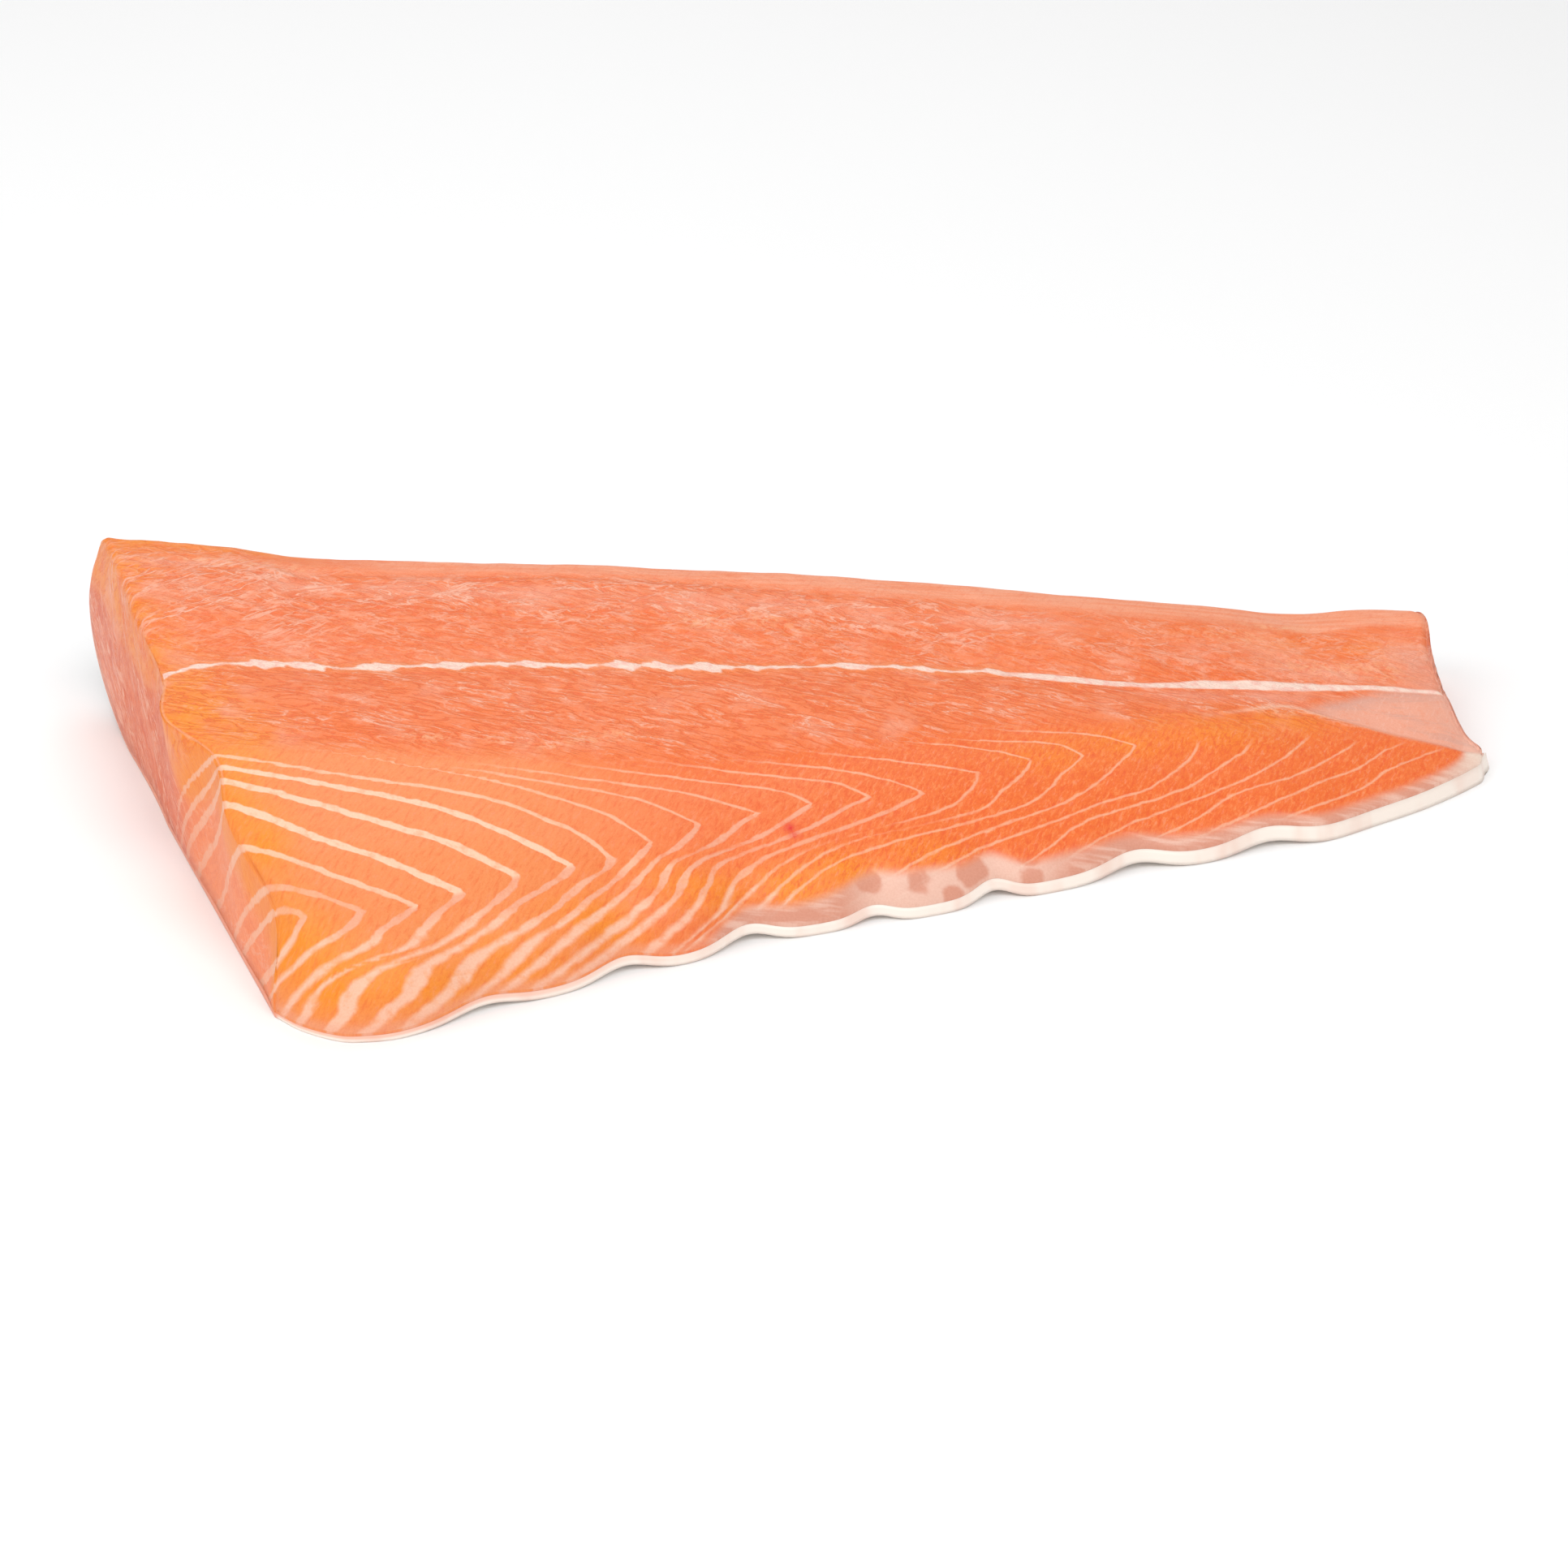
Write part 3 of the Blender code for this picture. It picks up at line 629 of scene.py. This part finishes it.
def finishPiece(name, mesh, node):
    bm = bmesh.new()
    bm.from_mesh(mesh)
    bmesh.ops.recalc_face_normals(bm, faces=bm.faces)
    # the flat underside in few faces; lists in order, so that each run gives the same mesh
    edges, verts = ([part for part in parts if all(f.normal.z < -0.9999 for f in part.link_faces)]
                    for parts in (bm.edges, bm.verts))
    bmesh.ops.dissolve_limit(bm, angle_limit=0.0005, verts=verts, edges=edges)
    bm.to_mesh(mesh)
    bm.free()
    mesh.shade_smooth()
    piece = link(name, mesh)
    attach(piece, "root")
    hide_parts(node)
    print(name, len(mesh.polygons), "faces")
    return piece


skinPiece = {
    "cells": (300, 120, 3),
    "endDraw": 0.0016, "drawReach": 0.006,  # how far its ends draw in at the top, and over what length
    "drawFrom": 0.55, "drawOver": 0.4,  # share of the height where that begins, and until it is whole
    "noRim": 60,                        # distance to the rim that the back's side is given
}


def makeSkin():
    p = skinPiece
    mesh = blockMesh("fishSkin", p["cells"])
    block = readVerts(mesh)
    u, v, w = block[:, 0], 1.0 - block[:, 1], block[:, 2]
    spot, across, s = skinPoints(u, v, w)
    rise = spot[:, 2] / s["height"]
    for run, sign in ((form["length"] * u, 1), (form["length"] * (1 - u), -1)):
        high = smooth((rise - p["drawFrom"]) / p["drawOver"])
        spot[:, 0] += sign * p["endDraw"] * high * smooth(1 - run / p["drawReach"])
    spot[:, 0] -= cornerDraw(u, across, s)
    placeVerts(mesh, spot)
    x, y, rimY, seamY, backY = unroll(u, v, skin=True)
    above, below = (backY - y) / (backY - seamY), (seamY - y) / (seamY - rimY)
    onCut, onTail = block[:, 0] < 0.001, block[:, 0] > 0.999
    nearCut = between(p["cells"][0] * u, 4.0, 1.5) * between(across, 0.2, 0.0)
    fields = dict(wrap=np.column_stack((x, y, w)), fromSide=y - seamY,
                  down=np.where(y > seamY, above, 1 + below),  # 0 back's edge, 1 seam, 2 rim
                  inside=np.where(across > 0, (1 - across) * s["bellyWidth"] * 1000, p["noRim"]),
                  fleshy=between(w, 0.25, 0.85) * between(spot[:, 0], -0.010, -0.085),
                  cutFace=np.select([onTail, onCut], [between(across, 1.0, 0.6), 1.0], nearCut))
    for name, values in fields.items():
        writeField(mesh, name, values)
    return finishPiece("fishSkin", mesh, "skin")


# Small helpers for shader trees: a value is a number or another node's socket.
class Tree:
    def __init__(self, tree, palette=None):
        self.tree = tree
        self.palette = palette
        self.fields = {}
        self.column = -1600
        self.body = None                # the surface's colour so far

    def node(self, kind, inputs=None, **settings):
        item = self.tree.nodes.new(kind)
        self.column += 30
        item.location = (self.column, (self.column * 7) % 600)
        for key, value in settings.items():
            setattr(item, key, value)
        for key, value in (inputs or {}).items():
            self.put(item.inputs[key], value)
        return item

    def put(self, socket, value):
        if isinstance(value, bpy.types.NodeSocket):
            self.tree.links.new(value, socket)
        else:
            socket.default_value = value

    def math(self, operation, a, b=0.0, c=0.0, clamp=False):
        inputs = {0: a, 1: b, 2: c}
        return self.node("ShaderNodeMath", inputs, operation=operation, use_clamp=clamp).outputs[0]

    def add(self, a, b):
        return self.math("ADD", a, b)

    def less(self, a, b):
        return self.math("SUBTRACT", a, b)

    def times(self, *values):
        return reduce(lambda a, b: self.math("MULTIPLY", a, b), values)

    def most(self, *values):
        return reduce(lambda a, b: self.math("MAXIMUM", a, b), values)

    def timesAdd(self, value, factor, more):
        return self.math("MULTIPLY_ADD", value, factor, more)

    def size(self, value):
        return self.math("ABSOLUTE", value)

    def ease(self, value, low, high, toLow=0.0, toHigh=1.0):
        inputs = {"Value": value, "From Min": low, "From Max": high, "To Min": toLow, "To Max": toHigh}
        return self.node("ShaderNodeMapRange", inputs, interpolation_type="SMOOTHSTEP").outputs["Result"]

    def around(self, value, half, soft):    # 1 within half of zero, eased
        return self.ease(value, self.add(half, soft), self.less(half, soft))

    def vectorMath(self, operation, a, b):
        return self.node("ShaderNodeVectorMath", {0: a, 1: b}, operation=operation).outputs[0]

    def stretch(self, vector, x, y, z=1.0):
        return self.vectorMath("MULTIPLY", vector, (x, y, z))

    def turn(self, vector, angle):
        inputs = {"Vector": vector, "Angle": angle}
        return self.node("ShaderNodeVectorRotate", inputs, rotation_type="Z_AXIS").outputs[0]

    def noise(self, vector, scale, detail=2.0, roughness=0.5, distortion=0.0, output=0):
        inputs = {"Vector": vector, "Scale": scale, "Detail": detail, "Roughness": roughness,
                  "Distortion": distortion}
        return self.node("ShaderNodeTexNoise", inputs).outputs[output]

    def cells(self, vector, scale, feature="F1", randomness=1.0):
        inputs = {"Vector": vector, "Scale": scale, "Randomness": randomness}
        return self.node("ShaderNodeTexVoronoi", inputs, feature=feature).outputs

    def field(self, name):              # a number that the mesh carries
        if name not in self.fields:
            self.fields[name] = self.node("ShaderNodeAttribute", attribute_name=name).outputs["Fac"]
        return self.fields[name]

    def blend(self, share, a, b, mode="MIX"):   # colours are sockets or the palette's names
        a, b = ((*self.palette[tint], 1.0) if isinstance(tint, str) else tint for tint in (a, b))
        inputs = {"Factor": share, 6: a, 7: b}
        return self.node("ShaderNodeMix", inputs, data_type="RGBA", blend_type=mode).outputs[2]

    def paint(self, share, tint):       # lays a colour over the surface's
        self.body = self.blend(share, self.body, tint)


def makeGroup(name, numbers, results):  # takes a vector and numbers, puts out numbers
    group = bpy.data.node_groups.new(name, "ShaderNodeTree")
    group.interface.new_socket("Vector", in_out="INPUT", socket_type="NodeSocketVector")
    for label, value in numbers.items():
        socket = group.interface.new_socket(label, in_out="INPUT", socket_type="NodeSocketFloat")
        socket.default_value = value
    for label in results:
        group.interface.new_socket(label, in_out="OUTPUT", socket_type="NodeSocketFloat")
    t = Tree(group)
    return group, t, t.node("NodeGroupInput").outputs, t.node("NodeGroupOutput").inputs


def makeStrandGroup():                  # thin pale strands that run one way, wander and branch
    numbers = {"Turn": 0.0, "Length": 8.0, "Width": 1.0, "Levels": 6.0}
    group, t, given, out = makeGroup("fibreStrands", numbers, ("Strands", "Height"))
    size = t.node("ShaderNodeCombineXYZ", {0: given["Length"], 1: given["Width"], 2: 1.0}).outputs[0]
    place = t.vectorMath("DIVIDE", t.turn(given["Vector"], given["Turn"]), size)
    height = t.math("PINGPONG", t.times(t.noise(place, 1.0, 4.0, 0.60, 0.25), given["Levels"]), 0.5)
    thin = t.ease(t.noise(place, 1.7), 0.3, 0.7, 0.42, 0.22)
    patches = t.ease(t.noise(place, 0.6, 3.0, 0.6), 0.36, 0.60, 0.1, 1.0)
    t.put(out["Strands"], t.times(t.ease(height, thin, 0.47), patches))
    t.put(out["Height"], height)
    return group


def makeMoistGroup():                   # film of moisture: where it is glossy and where it has dried
    group, t, given, out = makeGroup("moistFilm", {"Gloss": 0.32, "Spread": 0.18}, ("Roughness",))
    patches = t.noise(given["Vector"], 0.09, 3.0, 0.6, 0.4)
    grain = t.noise(given["Vector"], 1.1, 2.0, 0.6)
    share = t.add(t.times(patches, 0.7), t.times(grain, 0.3))
    t.put(out["Roughness"], t.timesAdd(share, given["Spread"], given["Gloss"]))
    return group


def useGroup(t, group, **values):
    return t.node("ShaderNodeGroup", values, node_tree=group).outputs


def startMaterial(name, palette, attribute):
    material = bpy.data.materials.new(name)
    material.use_nodes = True
    t = Tree(material.node_tree, palette)
    return material, t, t.node("ShaderNodeAttribute", attribute_name=attribute).outputs["Vector"]


def finishMaterial(t, moistGroup, place, finish, height, metallic=0.0):
    film = useGroup(t, moistGroup, Vector=place, Gloss=finish["gloss"], Spread=finish["spread"])
    bump = t.node("ShaderNodeBump", {"Strength": finish["bump"], "Distance": 0.0004, "Height": height})
    shader = t.tree.nodes["Principled BSDF"]
    for label, value in (("Base Color", t.body), ("Roughness", film["Roughness"]), ("Metallic", metallic),
                         ("Specular IOR Level", finish["specular"]), ("Normal", bump.outputs[0])):
        t.put(shader.inputs[label], value)


fleshColours = {
    "orange": (0.88, 0.215, 0.068), "deep": (0.87, 0.178, 0.035), "light": (0.88, 0.28, 0.092),
    # dark is painted shade in the fibres' hollows and also the colour of the short strokes; the cut's darkest
    # colour, further down, is painted shade in the hollows of its fibres
    "gold": (0.93, 0.29, 0.016), "dark": (0.82, 0.12, 0.03), "strand": (0.95, 0.48, 0.34),
    "strip": (0.93, 0.385, 0.225), "cut": (0.83, 0.185, 0.06), "cutFront": (0.94, 0.275, 0.1),
    "cream": (0.95, 0.6, 0.41), "pink": (0.87, 0.41, 0.27), "stripe": (0.94, 0.56, 0.4),
    "fat": (0.71, 0.335, 0.24), "fatPale": (0.88, 0.6, 0.49), "membrane": (0.86, 0.41, 0.29),
    "membraneGrey": (0.68, 0.375, 0.3), "membranePale": (0.9, 0.53, 0.42), "seam": (0.95, 0.71, 0.6),
    # lip colours a paler line down the wide cut at the back and a painted highlight along the cut's top edge
    "seamPink": (0.93, 0.56, 0.47), "lip": (0.94, 0.43, 0.23), "cutPitShade": (0.7, 0.11, 0.055),
    "rosy": (0.9, 0.4, 0.28), "paleFlake": (0.95, 0.44, 0.23), "corner": (0.9, 0.74, 0.62),
    "haze": (0.9, 0.33, 0.19), "crinkle": (0.93, 0.33, 0.12), "fleck": (0.74, 0.03, 0.03),
    "grainDark": (0.95, 0.9, 0.88), "grainPale": (1.0, 1.0, 1.0),
}
fleshFinish = {"gloss": 0.30, "spread": 0.22, "specular": 0.28, "bump": 0.5}
# sets of fibres: turn in degrees, length, width, number of strands across a lump
fibreSets = {
    "falling": (24, 16.0, 5.0, 6.0), "rising": (-16, 22.0, 5.0, 6.0), "sharp": (8, 9.0, 2.6, 4.0),
    "fanned": (-34, 24.0, 4.0, 5.0), "fine": (18, 14.0, 3.6, 6.0),
    "loops": (-68, 18.0, 5.0, 7.0), "steep": (39, 16.0, 3.6, 5.0),
}


def makeFleshMaterial(strandGroup, moistGroup):
    material, t, place = startMaterial("rawSalmonFlesh", fleshColours, "chart")
    field, times, most, ease, paint = t.field, t.times, t.most, t.ease, t.paint
    mottle = t.noise(place, 0.08, 3.0, 0.55)
    grain = t.noise(place, 2.0, 3.0, 0.65)
    t.body = t.blend(field("deep"), "orange", "deep")
    paint(field("light"), "light")
    paint(times(field("gold"), ease(mottle, 0.30, 0.55, 0.55, 1.0)), "gold")
    cutFace = most(ease(field("overHang"), -3.5, 4.0), field("tailFace"))
    paint(cutFace, t.blend(field("frontCut"), "cut", "cutFront"))
    long = t.noise(t.stretch(place, 0.05, 0.8), 1.0, 3.0, 0.6)
    paint(times(field("strip"), ease(long, 0.34, 0.60, 0.45, 0.95)), "strip")

    # fibres: crossing nets under the far edge, a fan at the corner, fine streaks elsewhere, loops on the cut
    strand, pit = {}, {}
    for name, (angle, length, width, levels) in fibreSets.items():
        fibres = useGroup(t, strandGroup, Vector=place, Turn=math.radians(angle), Length=length, Width=width,
                          Levels=levels)
        strand[name], pit[name] = fibres["Strands"], fibres["Height"]
    cloud = ease(t.noise(place, 0.12, 4.0, 0.65), 0.38, 0.56, 0.35, 1.0)
    backCut = times(cutFace, ease(field("frontCut"), 1.0, 0.0))
    frontCut = times(cutFace, field("frontCut"))
    crossing = times(most(strand["falling"], strand["rising"], times(strand["sharp"], 0.8)), field("net"))
    strands = times(most(crossing, times(strand["fine"], field("streaks"), 0.8)), cloud,
                    t.timesAdd(field("gold"), -0.6, 1.0))
    strands = most(strands, times(strand["fanned"], field("fan")), times(strand["loops"], backCut),
                   times(strand["steep"], frontCut, 0.35))
    # the hollows between the fibres: painted shade in the colour, and dips in the bump
    pits = most(times(ease(pit["falling"], 0.20, 0.0), field("net")),
                times(ease(pit["fine"], 0.20, 0.0), field("streaks")),
                times(ease(pit["loops"], 0.26, 0.0), backCut, 1.3),
                times(ease(pit["steep"], 0.26, 0.0), frontCut, 0.25))
    paint(t.math("MULTIPLY", pits, 0.60, clamp=True), t.blend(cutFace, "dark", "cutPitShade"))
    fibrous = most(field("net"), field("streaks"))
    paint(times(ease(mottle, 0.46, 0.30, 0.0, 0.7), fibrous), "deep")
    paint(times(ease(mottle, 0.5, 0.72, 0.0, 0.7), fibrous), "haze")
    paint(times(field("rosy"), ease(mottle, 0.30, 0.55, 0.35, 0.85)), "rosy")
    flakes = t.noise(place, 0.5, 4.0, 0.7, 0.4)
    paint(times(field("pale"), ease(flakes, 0.42, 0.60)), "paleFlake")
    paint(strands, "strand")
    # lip: a paler line where the top's colours end down the cut at the back, and a painted highlight along
    # the cut's top edge below the seam
    lip = times(ease(t.size(field("overHang")), 1.1, 0.2), ease(field("fromSeam"), 45.0, 60.0, 0.0, 0.7))
    paint(most(lip, times(ease(field("fromEdge"), 1.0, 0.2), field("edgeHighlight"), 0.65)), "lip")

    # short strokes between the lines towards the tail
    slanted = t.turn(place, math.radians(-62))
    strokes = t.noise(t.stretch(slanted, 0.30, 1.2), 1.0, 4.0, 0.65)
    paint(times(ease(strokes, 0.50, 0.66), t.timesAdd(field("hair"), 0.50, 0.22)), "dark")
    paint(times(ease(strokes, 0.46, 0.32), t.timesAdd(field("hair"), 0.30, 0.22)), "haze")
    crinkle = t.noise(t.stretch(slanted, 0.55, 1.3), 1.0, 5.0, 0.72, 0.8)
    paint(times(ease(crinkle, 0.52, 0.60), field("hair"), 0.55), "dark")
    paint(times(ease(crinkle, 0.47, 0.38), field("hair"), 0.45), "crinkle")

    # the white lines: how far their count is from a whole number, times the gap between two of them
    wobble = times(t.less(t.noise(place, 0.3, 3.0, 0.55), 0.5), 0.9)
    phase = t.add(field("line"), t.math("DIVIDE", wobble, field("lineGap")))
    offset = times(t.size(t.less(phase, t.math("ROUND", phase))), field("lineGap"))
    half = times(field("lineWidth"), ease(t.noise(place, 0.22), 0.3, 0.7, 0.36, 0.60))
    lineMask = t.math("MULTIPLY", t.around(offset, half, field("lineSoft")), field("lineWhite"), clamp=True)
    lineMask = times(lineMask, ease(t.noise(place, 0.35, 3.0, 0.6), 0.30, 0.52, 0.60, 1.0))
    paint(lineMask, t.blend(field("flankLine"), t.blend(field("linePink"), "cream", "pink"), "stripe"))
    paint(field("ridgeLine"), "stripe")
    paint(times(field("fleck"), ease(flakes, 0.30, 0.46, 0.4, 1.0)), "fleck")

    # soft fat at the rim, with pale lobes
    shifted = t.stretch(t.noise(place, 0.25, output="Color"), 2.5, 2.5, 2.5)
    lobes = t.cells(t.vectorMath("ADD", place, shifted), 0.16)["Distance"]
    ring = times(ease(lobes, 0.34, 0.52, 0.0, 0.85), field("lobes"))
    smear = ease(t.noise(t.stretch(place, 0.07, 0.5), 1.0, 3.0, 0.6), 0.42, 0.66, 0.0, 0.75)
    smear = times(smear, ease(field("lobes"), 0.8, 0.0))
    paint(times(field("blush"), 0.4), "pink")
    paint(times(field("fat"), 0.92), t.blend(most(ring, smear), "fat", "fatPale"))
    paint(times(field("fat"), ease(field("fromTail"), 20.0, 2.0), 0.9), "corner")
    # thin skin over the flesh at the tail
    veil = t.noise(t.stretch(place, 0.06, 0.40), 1.0, 3.0, 0.6, 0.5)
    cloudy = most(times(ease(veil, 0.30, 0.50), field("upTop")), ease(veil, 0.50, 0.66, 0.0, 0.7))
    thin = t.blend(times(cloudy, 0.85), "membrane", "membraneGrey")
    thin = t.blend(ease(strokes, 0.48, 0.30, 0.0, 0.5), thin, "membranePale")
    thin = t.blend(ease(field("fromTail"), 15.0, 2.0, 0.0, 0.6), thin, "membranePale")
    paint(times(field("membrane"), ease(flakes, 0.30, 0.50, 0.70, 0.93)), thin)

    # the seam: a ragged pale band with lumps that lean towards the tail
    ragged, fromSeam = field("ragged"), field("fromSeam")
    parts = t.node("ShaderNodeSeparateXYZ", {0: place}).outputs
    along = t.node("ShaderNodeCombineXYZ", {0: t.add(parts[0], times(fromSeam, 0.7))}).outputs[0]
    lumps = t.noise(along, 0.13)
    rough = t.noise(place, 0.45, 3.0, 0.6)
    bow = times(t.less(t.noise(along, 0.05, 1.0), 0.5), t.timesAdd(ragged, 3.0, 0.5))
    swell = t.add(ease(lumps, 0.42, 0.66, 0.40, 1.7), times(t.less(rough, 0.5), 1.3))
    half = times(field("seamHalf"), t.add(times(swell, ragged), t.less(1.0, ragged)))
    offSeam = t.size(t.add(fromSeam, bow))
    faint = t.timesAdd(ease(lumps, 0.30, 0.44, -0.6, 0.0), ragged, 1.0)
    seamMask = times(t.around(offSeam, half, 0.4), faint)
    paint(times(ease(offSeam, t.add(half, 2.4), half, 0.0, 0.5), ragged), "light")
    paint(seamMask, t.blend(ease(rough, 0.45, 0.65), "seam", "seamPink"))
    t.body = t.blend(1.0, t.body, t.blend(ease(grain, 0.3, 0.7), "grainDark", "grainPale"), "MULTIPLY")
    height = t.less(t.add(times(strands, 0.9), times(grain, 0.3)), times(pits, 0.5))
    height = t.add(t.add(height, times(lineMask, 0.25)), times(seamMask, 0.5))
    finishMaterial(t, moistGroup, place, fleshFinish, height)
    return material


skinColours = {
    "rim": (0.96, 0.85, 0.76), "rimPink": (0.88, 0.62, 0.52), "rimFlesh": (0.9, 0.38, 0.24),
    "belly": (0.76, 0.74, 0.7), "silver": (0.44, 0.46, 0.47), "back": (0.05, 0.066, 0.07),
    # sheen is a painted reflection, which some scales carry more than others
    "net": (0.15, 0.165, 0.17), "sheen": (0.3, 0.33, 0.33), "cut": (0.86, 0.3, 0.17),
    "spot": (0.008, 0.01, 0.011),
}
skinFinish = {"gloss": 0.24, "spread": 0.2, "specular": 0.5, "bump": 0.45, "metallic": 0.30}


def makeSkinMaterial(moistGroup):
    material, t, place = startMaterial("salmonSkin", skinColours, "wrap")
    field, times, ease, paint = t.field, t.times, t.ease, t.paint
    flat = t.stretch(place, 1.0, 1.0, 0.0)
    down = t.add(field("down"), times(t.less(t.noise(flat, 0.04, 3.0, 0.55), 0.5), 0.45))
    t.body = t.blend(ease(down, 1.15, 1.65), "silver", "belly")
    paint(ease(down, 0.75, 0.15), "back")
    # scales in slanting rows
    slanted = t.turn(t.stretch(flat, 0.42, 0.56, 0.0), math.radians(45))
    scale = t.cells(slanted, 1.0, "F1", 0.22)
    border = ease(t.cells(slanted, 1.0, "DISTANCE_TO_EDGE", 0.22)["Distance"], 0.14, 0.02)
    # painted sheen: each scale gets its own share of the sheen colour
    shade = t.node("ShaderNodeSeparateColor", {0: scale["Color"]}).outputs[0]
    paint(ease(shade, 0.3, 1.0, 0.0, 0.18), "sheen")
    paint(times(border, 0.32), "net")
    # spots above the line along the fish's side
    ragged = times(t.less(t.noise(flat, 0.45, 3.0, 0.6), 0.5), 0.22)
    fewer = ease(t.noise(flat, 0.035, 1.0), 0.40, 0.60, 0.03, -0.12)
    spotOff = t.add(t.add(t.cells(flat, 0.085)["Distance"], ragged), fewer)
    paint(times(ease(spotOff, 0.17, 0.11), ease(down, 0.95, 0.75, 0.0, 0.92)), "spot")
    dashes = ease(t.noise(flat, 0.35, 1.0), 0.42, 0.50, 0.0, 0.6)
    paint(times(ease(t.size(field("fromSide")), 0.8, 0.3), dashes), "net")
    # pale rim and the cut edges
    rimMask = ease(field("inside"), 5.5, 2.5)
    rim = t.blend(ease(t.noise(place, 0.09, 3.0), 0.46, 0.68, 0.0, 0.7), "rim", "rimPink")
    paint(rimMask, t.blend(times(field("fleshy"), 0.8), rim, "rimFlesh"))
    paint(field("cutFace"), "cut")
    bare = t.less(1.0, t.most(rimMask, field("cutFace")))
    dome = ease(scale["Distance"], 0.60, 0.10)
    finishMaterial(t, moistGroup, place, skinFinish, times(t.less(dome, border), bare),
                   times(bare, skinFinish["metallic"]))
    return material


strandGroup = makeStrandGroup()
moistGroup = makeMoistGroup()
meat = makeFlesh()
meat.data.materials.append(makeFleshMaterial(strandGroup, moistGroup))
skin = makeSkin()
skin.data.materials.append(makeSkinMaterial(moistGroup))
print("flesh and skin finished")

stage = {
    "size": 6.0, "drop": 0.00005,       # the floor lies a hair below the fillet
    "finish": {"Base Color": (0.97, 0.97, 0.97, 1.0), "Roughness": 0.7, "Specular IOR Level": 0.2},
}


def makeFloor():
    bm = bmesh.new()
    bmesh.ops.create_grid(bm, x_segments=1, y_segments=1, size=stage["size"] / 2)
    bmesh.ops.translate(bm, vec=(0, 0, -stage["drop"]), verts=bm.verts)
    mesh = bpy.data.meshes.new("floor")
    bm.to_mesh(mesh)
    bm.free()
    material = bpy.data.materials.new("paleFloor")
    material.use_nodes = True
    shader = material.node_tree.nodes["Principled BSDF"]
    for label, value in stage["finish"].items():
        shader.inputs[label].default_value = value
    mesh.materials.append(material)
    link("floor", mesh)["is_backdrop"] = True


lamps = {
    # name: place, power, size
    "key": ((0.20, -0.85, 1.10), 10.5, 1.0),
    "fill": ((-0.95, -0.25, 0.85), 5.6, 1.0),
    "back": ((0.00, 0.75, 1.05), 4.6, 1.0),
}
lampTarget = (0, 0, 0.02)
world = {"Strength": 0.40, "Color": (1.0, 1.0, 1.0, 1.0)}


def aim(obj, place, target):
    obj.location = place
    obj.rotation_euler = (Vector(target) - Vector(place)).to_track_quat("-Z", "Y").to_euler()


def makeLights():
    for name, (place, power, size) in lamps.items():
        data = bpy.data.lights.new(name, "AREA")
        data.energy = power
        data.size = size
        aim(link(name, data), place, lampTarget)
    sky = bpy.data.worlds.new("studio")
    sky.use_nodes = True
    for label, value in world.items():
        sky.node_tree.nodes["Background"].inputs[label].default_value = value
    bpy.context.scene.world = sky
    bpy.context.scene.view_settings.view_transform = "Standard"


# angles in degrees, lens and film in millimetres
view = {"turn": -6.6, "rise": 28.0, "lens": 90.0, "film": 36.0, "distance": 0.845,
        "target": (-0.0028, 0.0177, 0.0)}


def makeCamera():
    turn, rise = math.radians(view["turn"]), math.radians(view["rise"])
    back = Vector((math.sin(turn) * math.cos(rise), -math.cos(turn) * math.cos(rise), math.sin(rise)))
    data = bpy.data.cameras.new("camera")
    data.lens = view["lens"]
    data.sensor_width = view["film"]
    data.clip_start = 0.01
    camera = link("camera", data)
    aim(camera, Vector(view["target"]) + back * view["distance"], view["target"])
    bpy.context.scene.camera = camera


makeFloor()
makeLights()
makeCamera()
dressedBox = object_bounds()
boxes = {"cad": cadBox, "visual": dressedBox}
{name: [list(map(float, corner)) for corner in box] for name, box in boxes.items()}
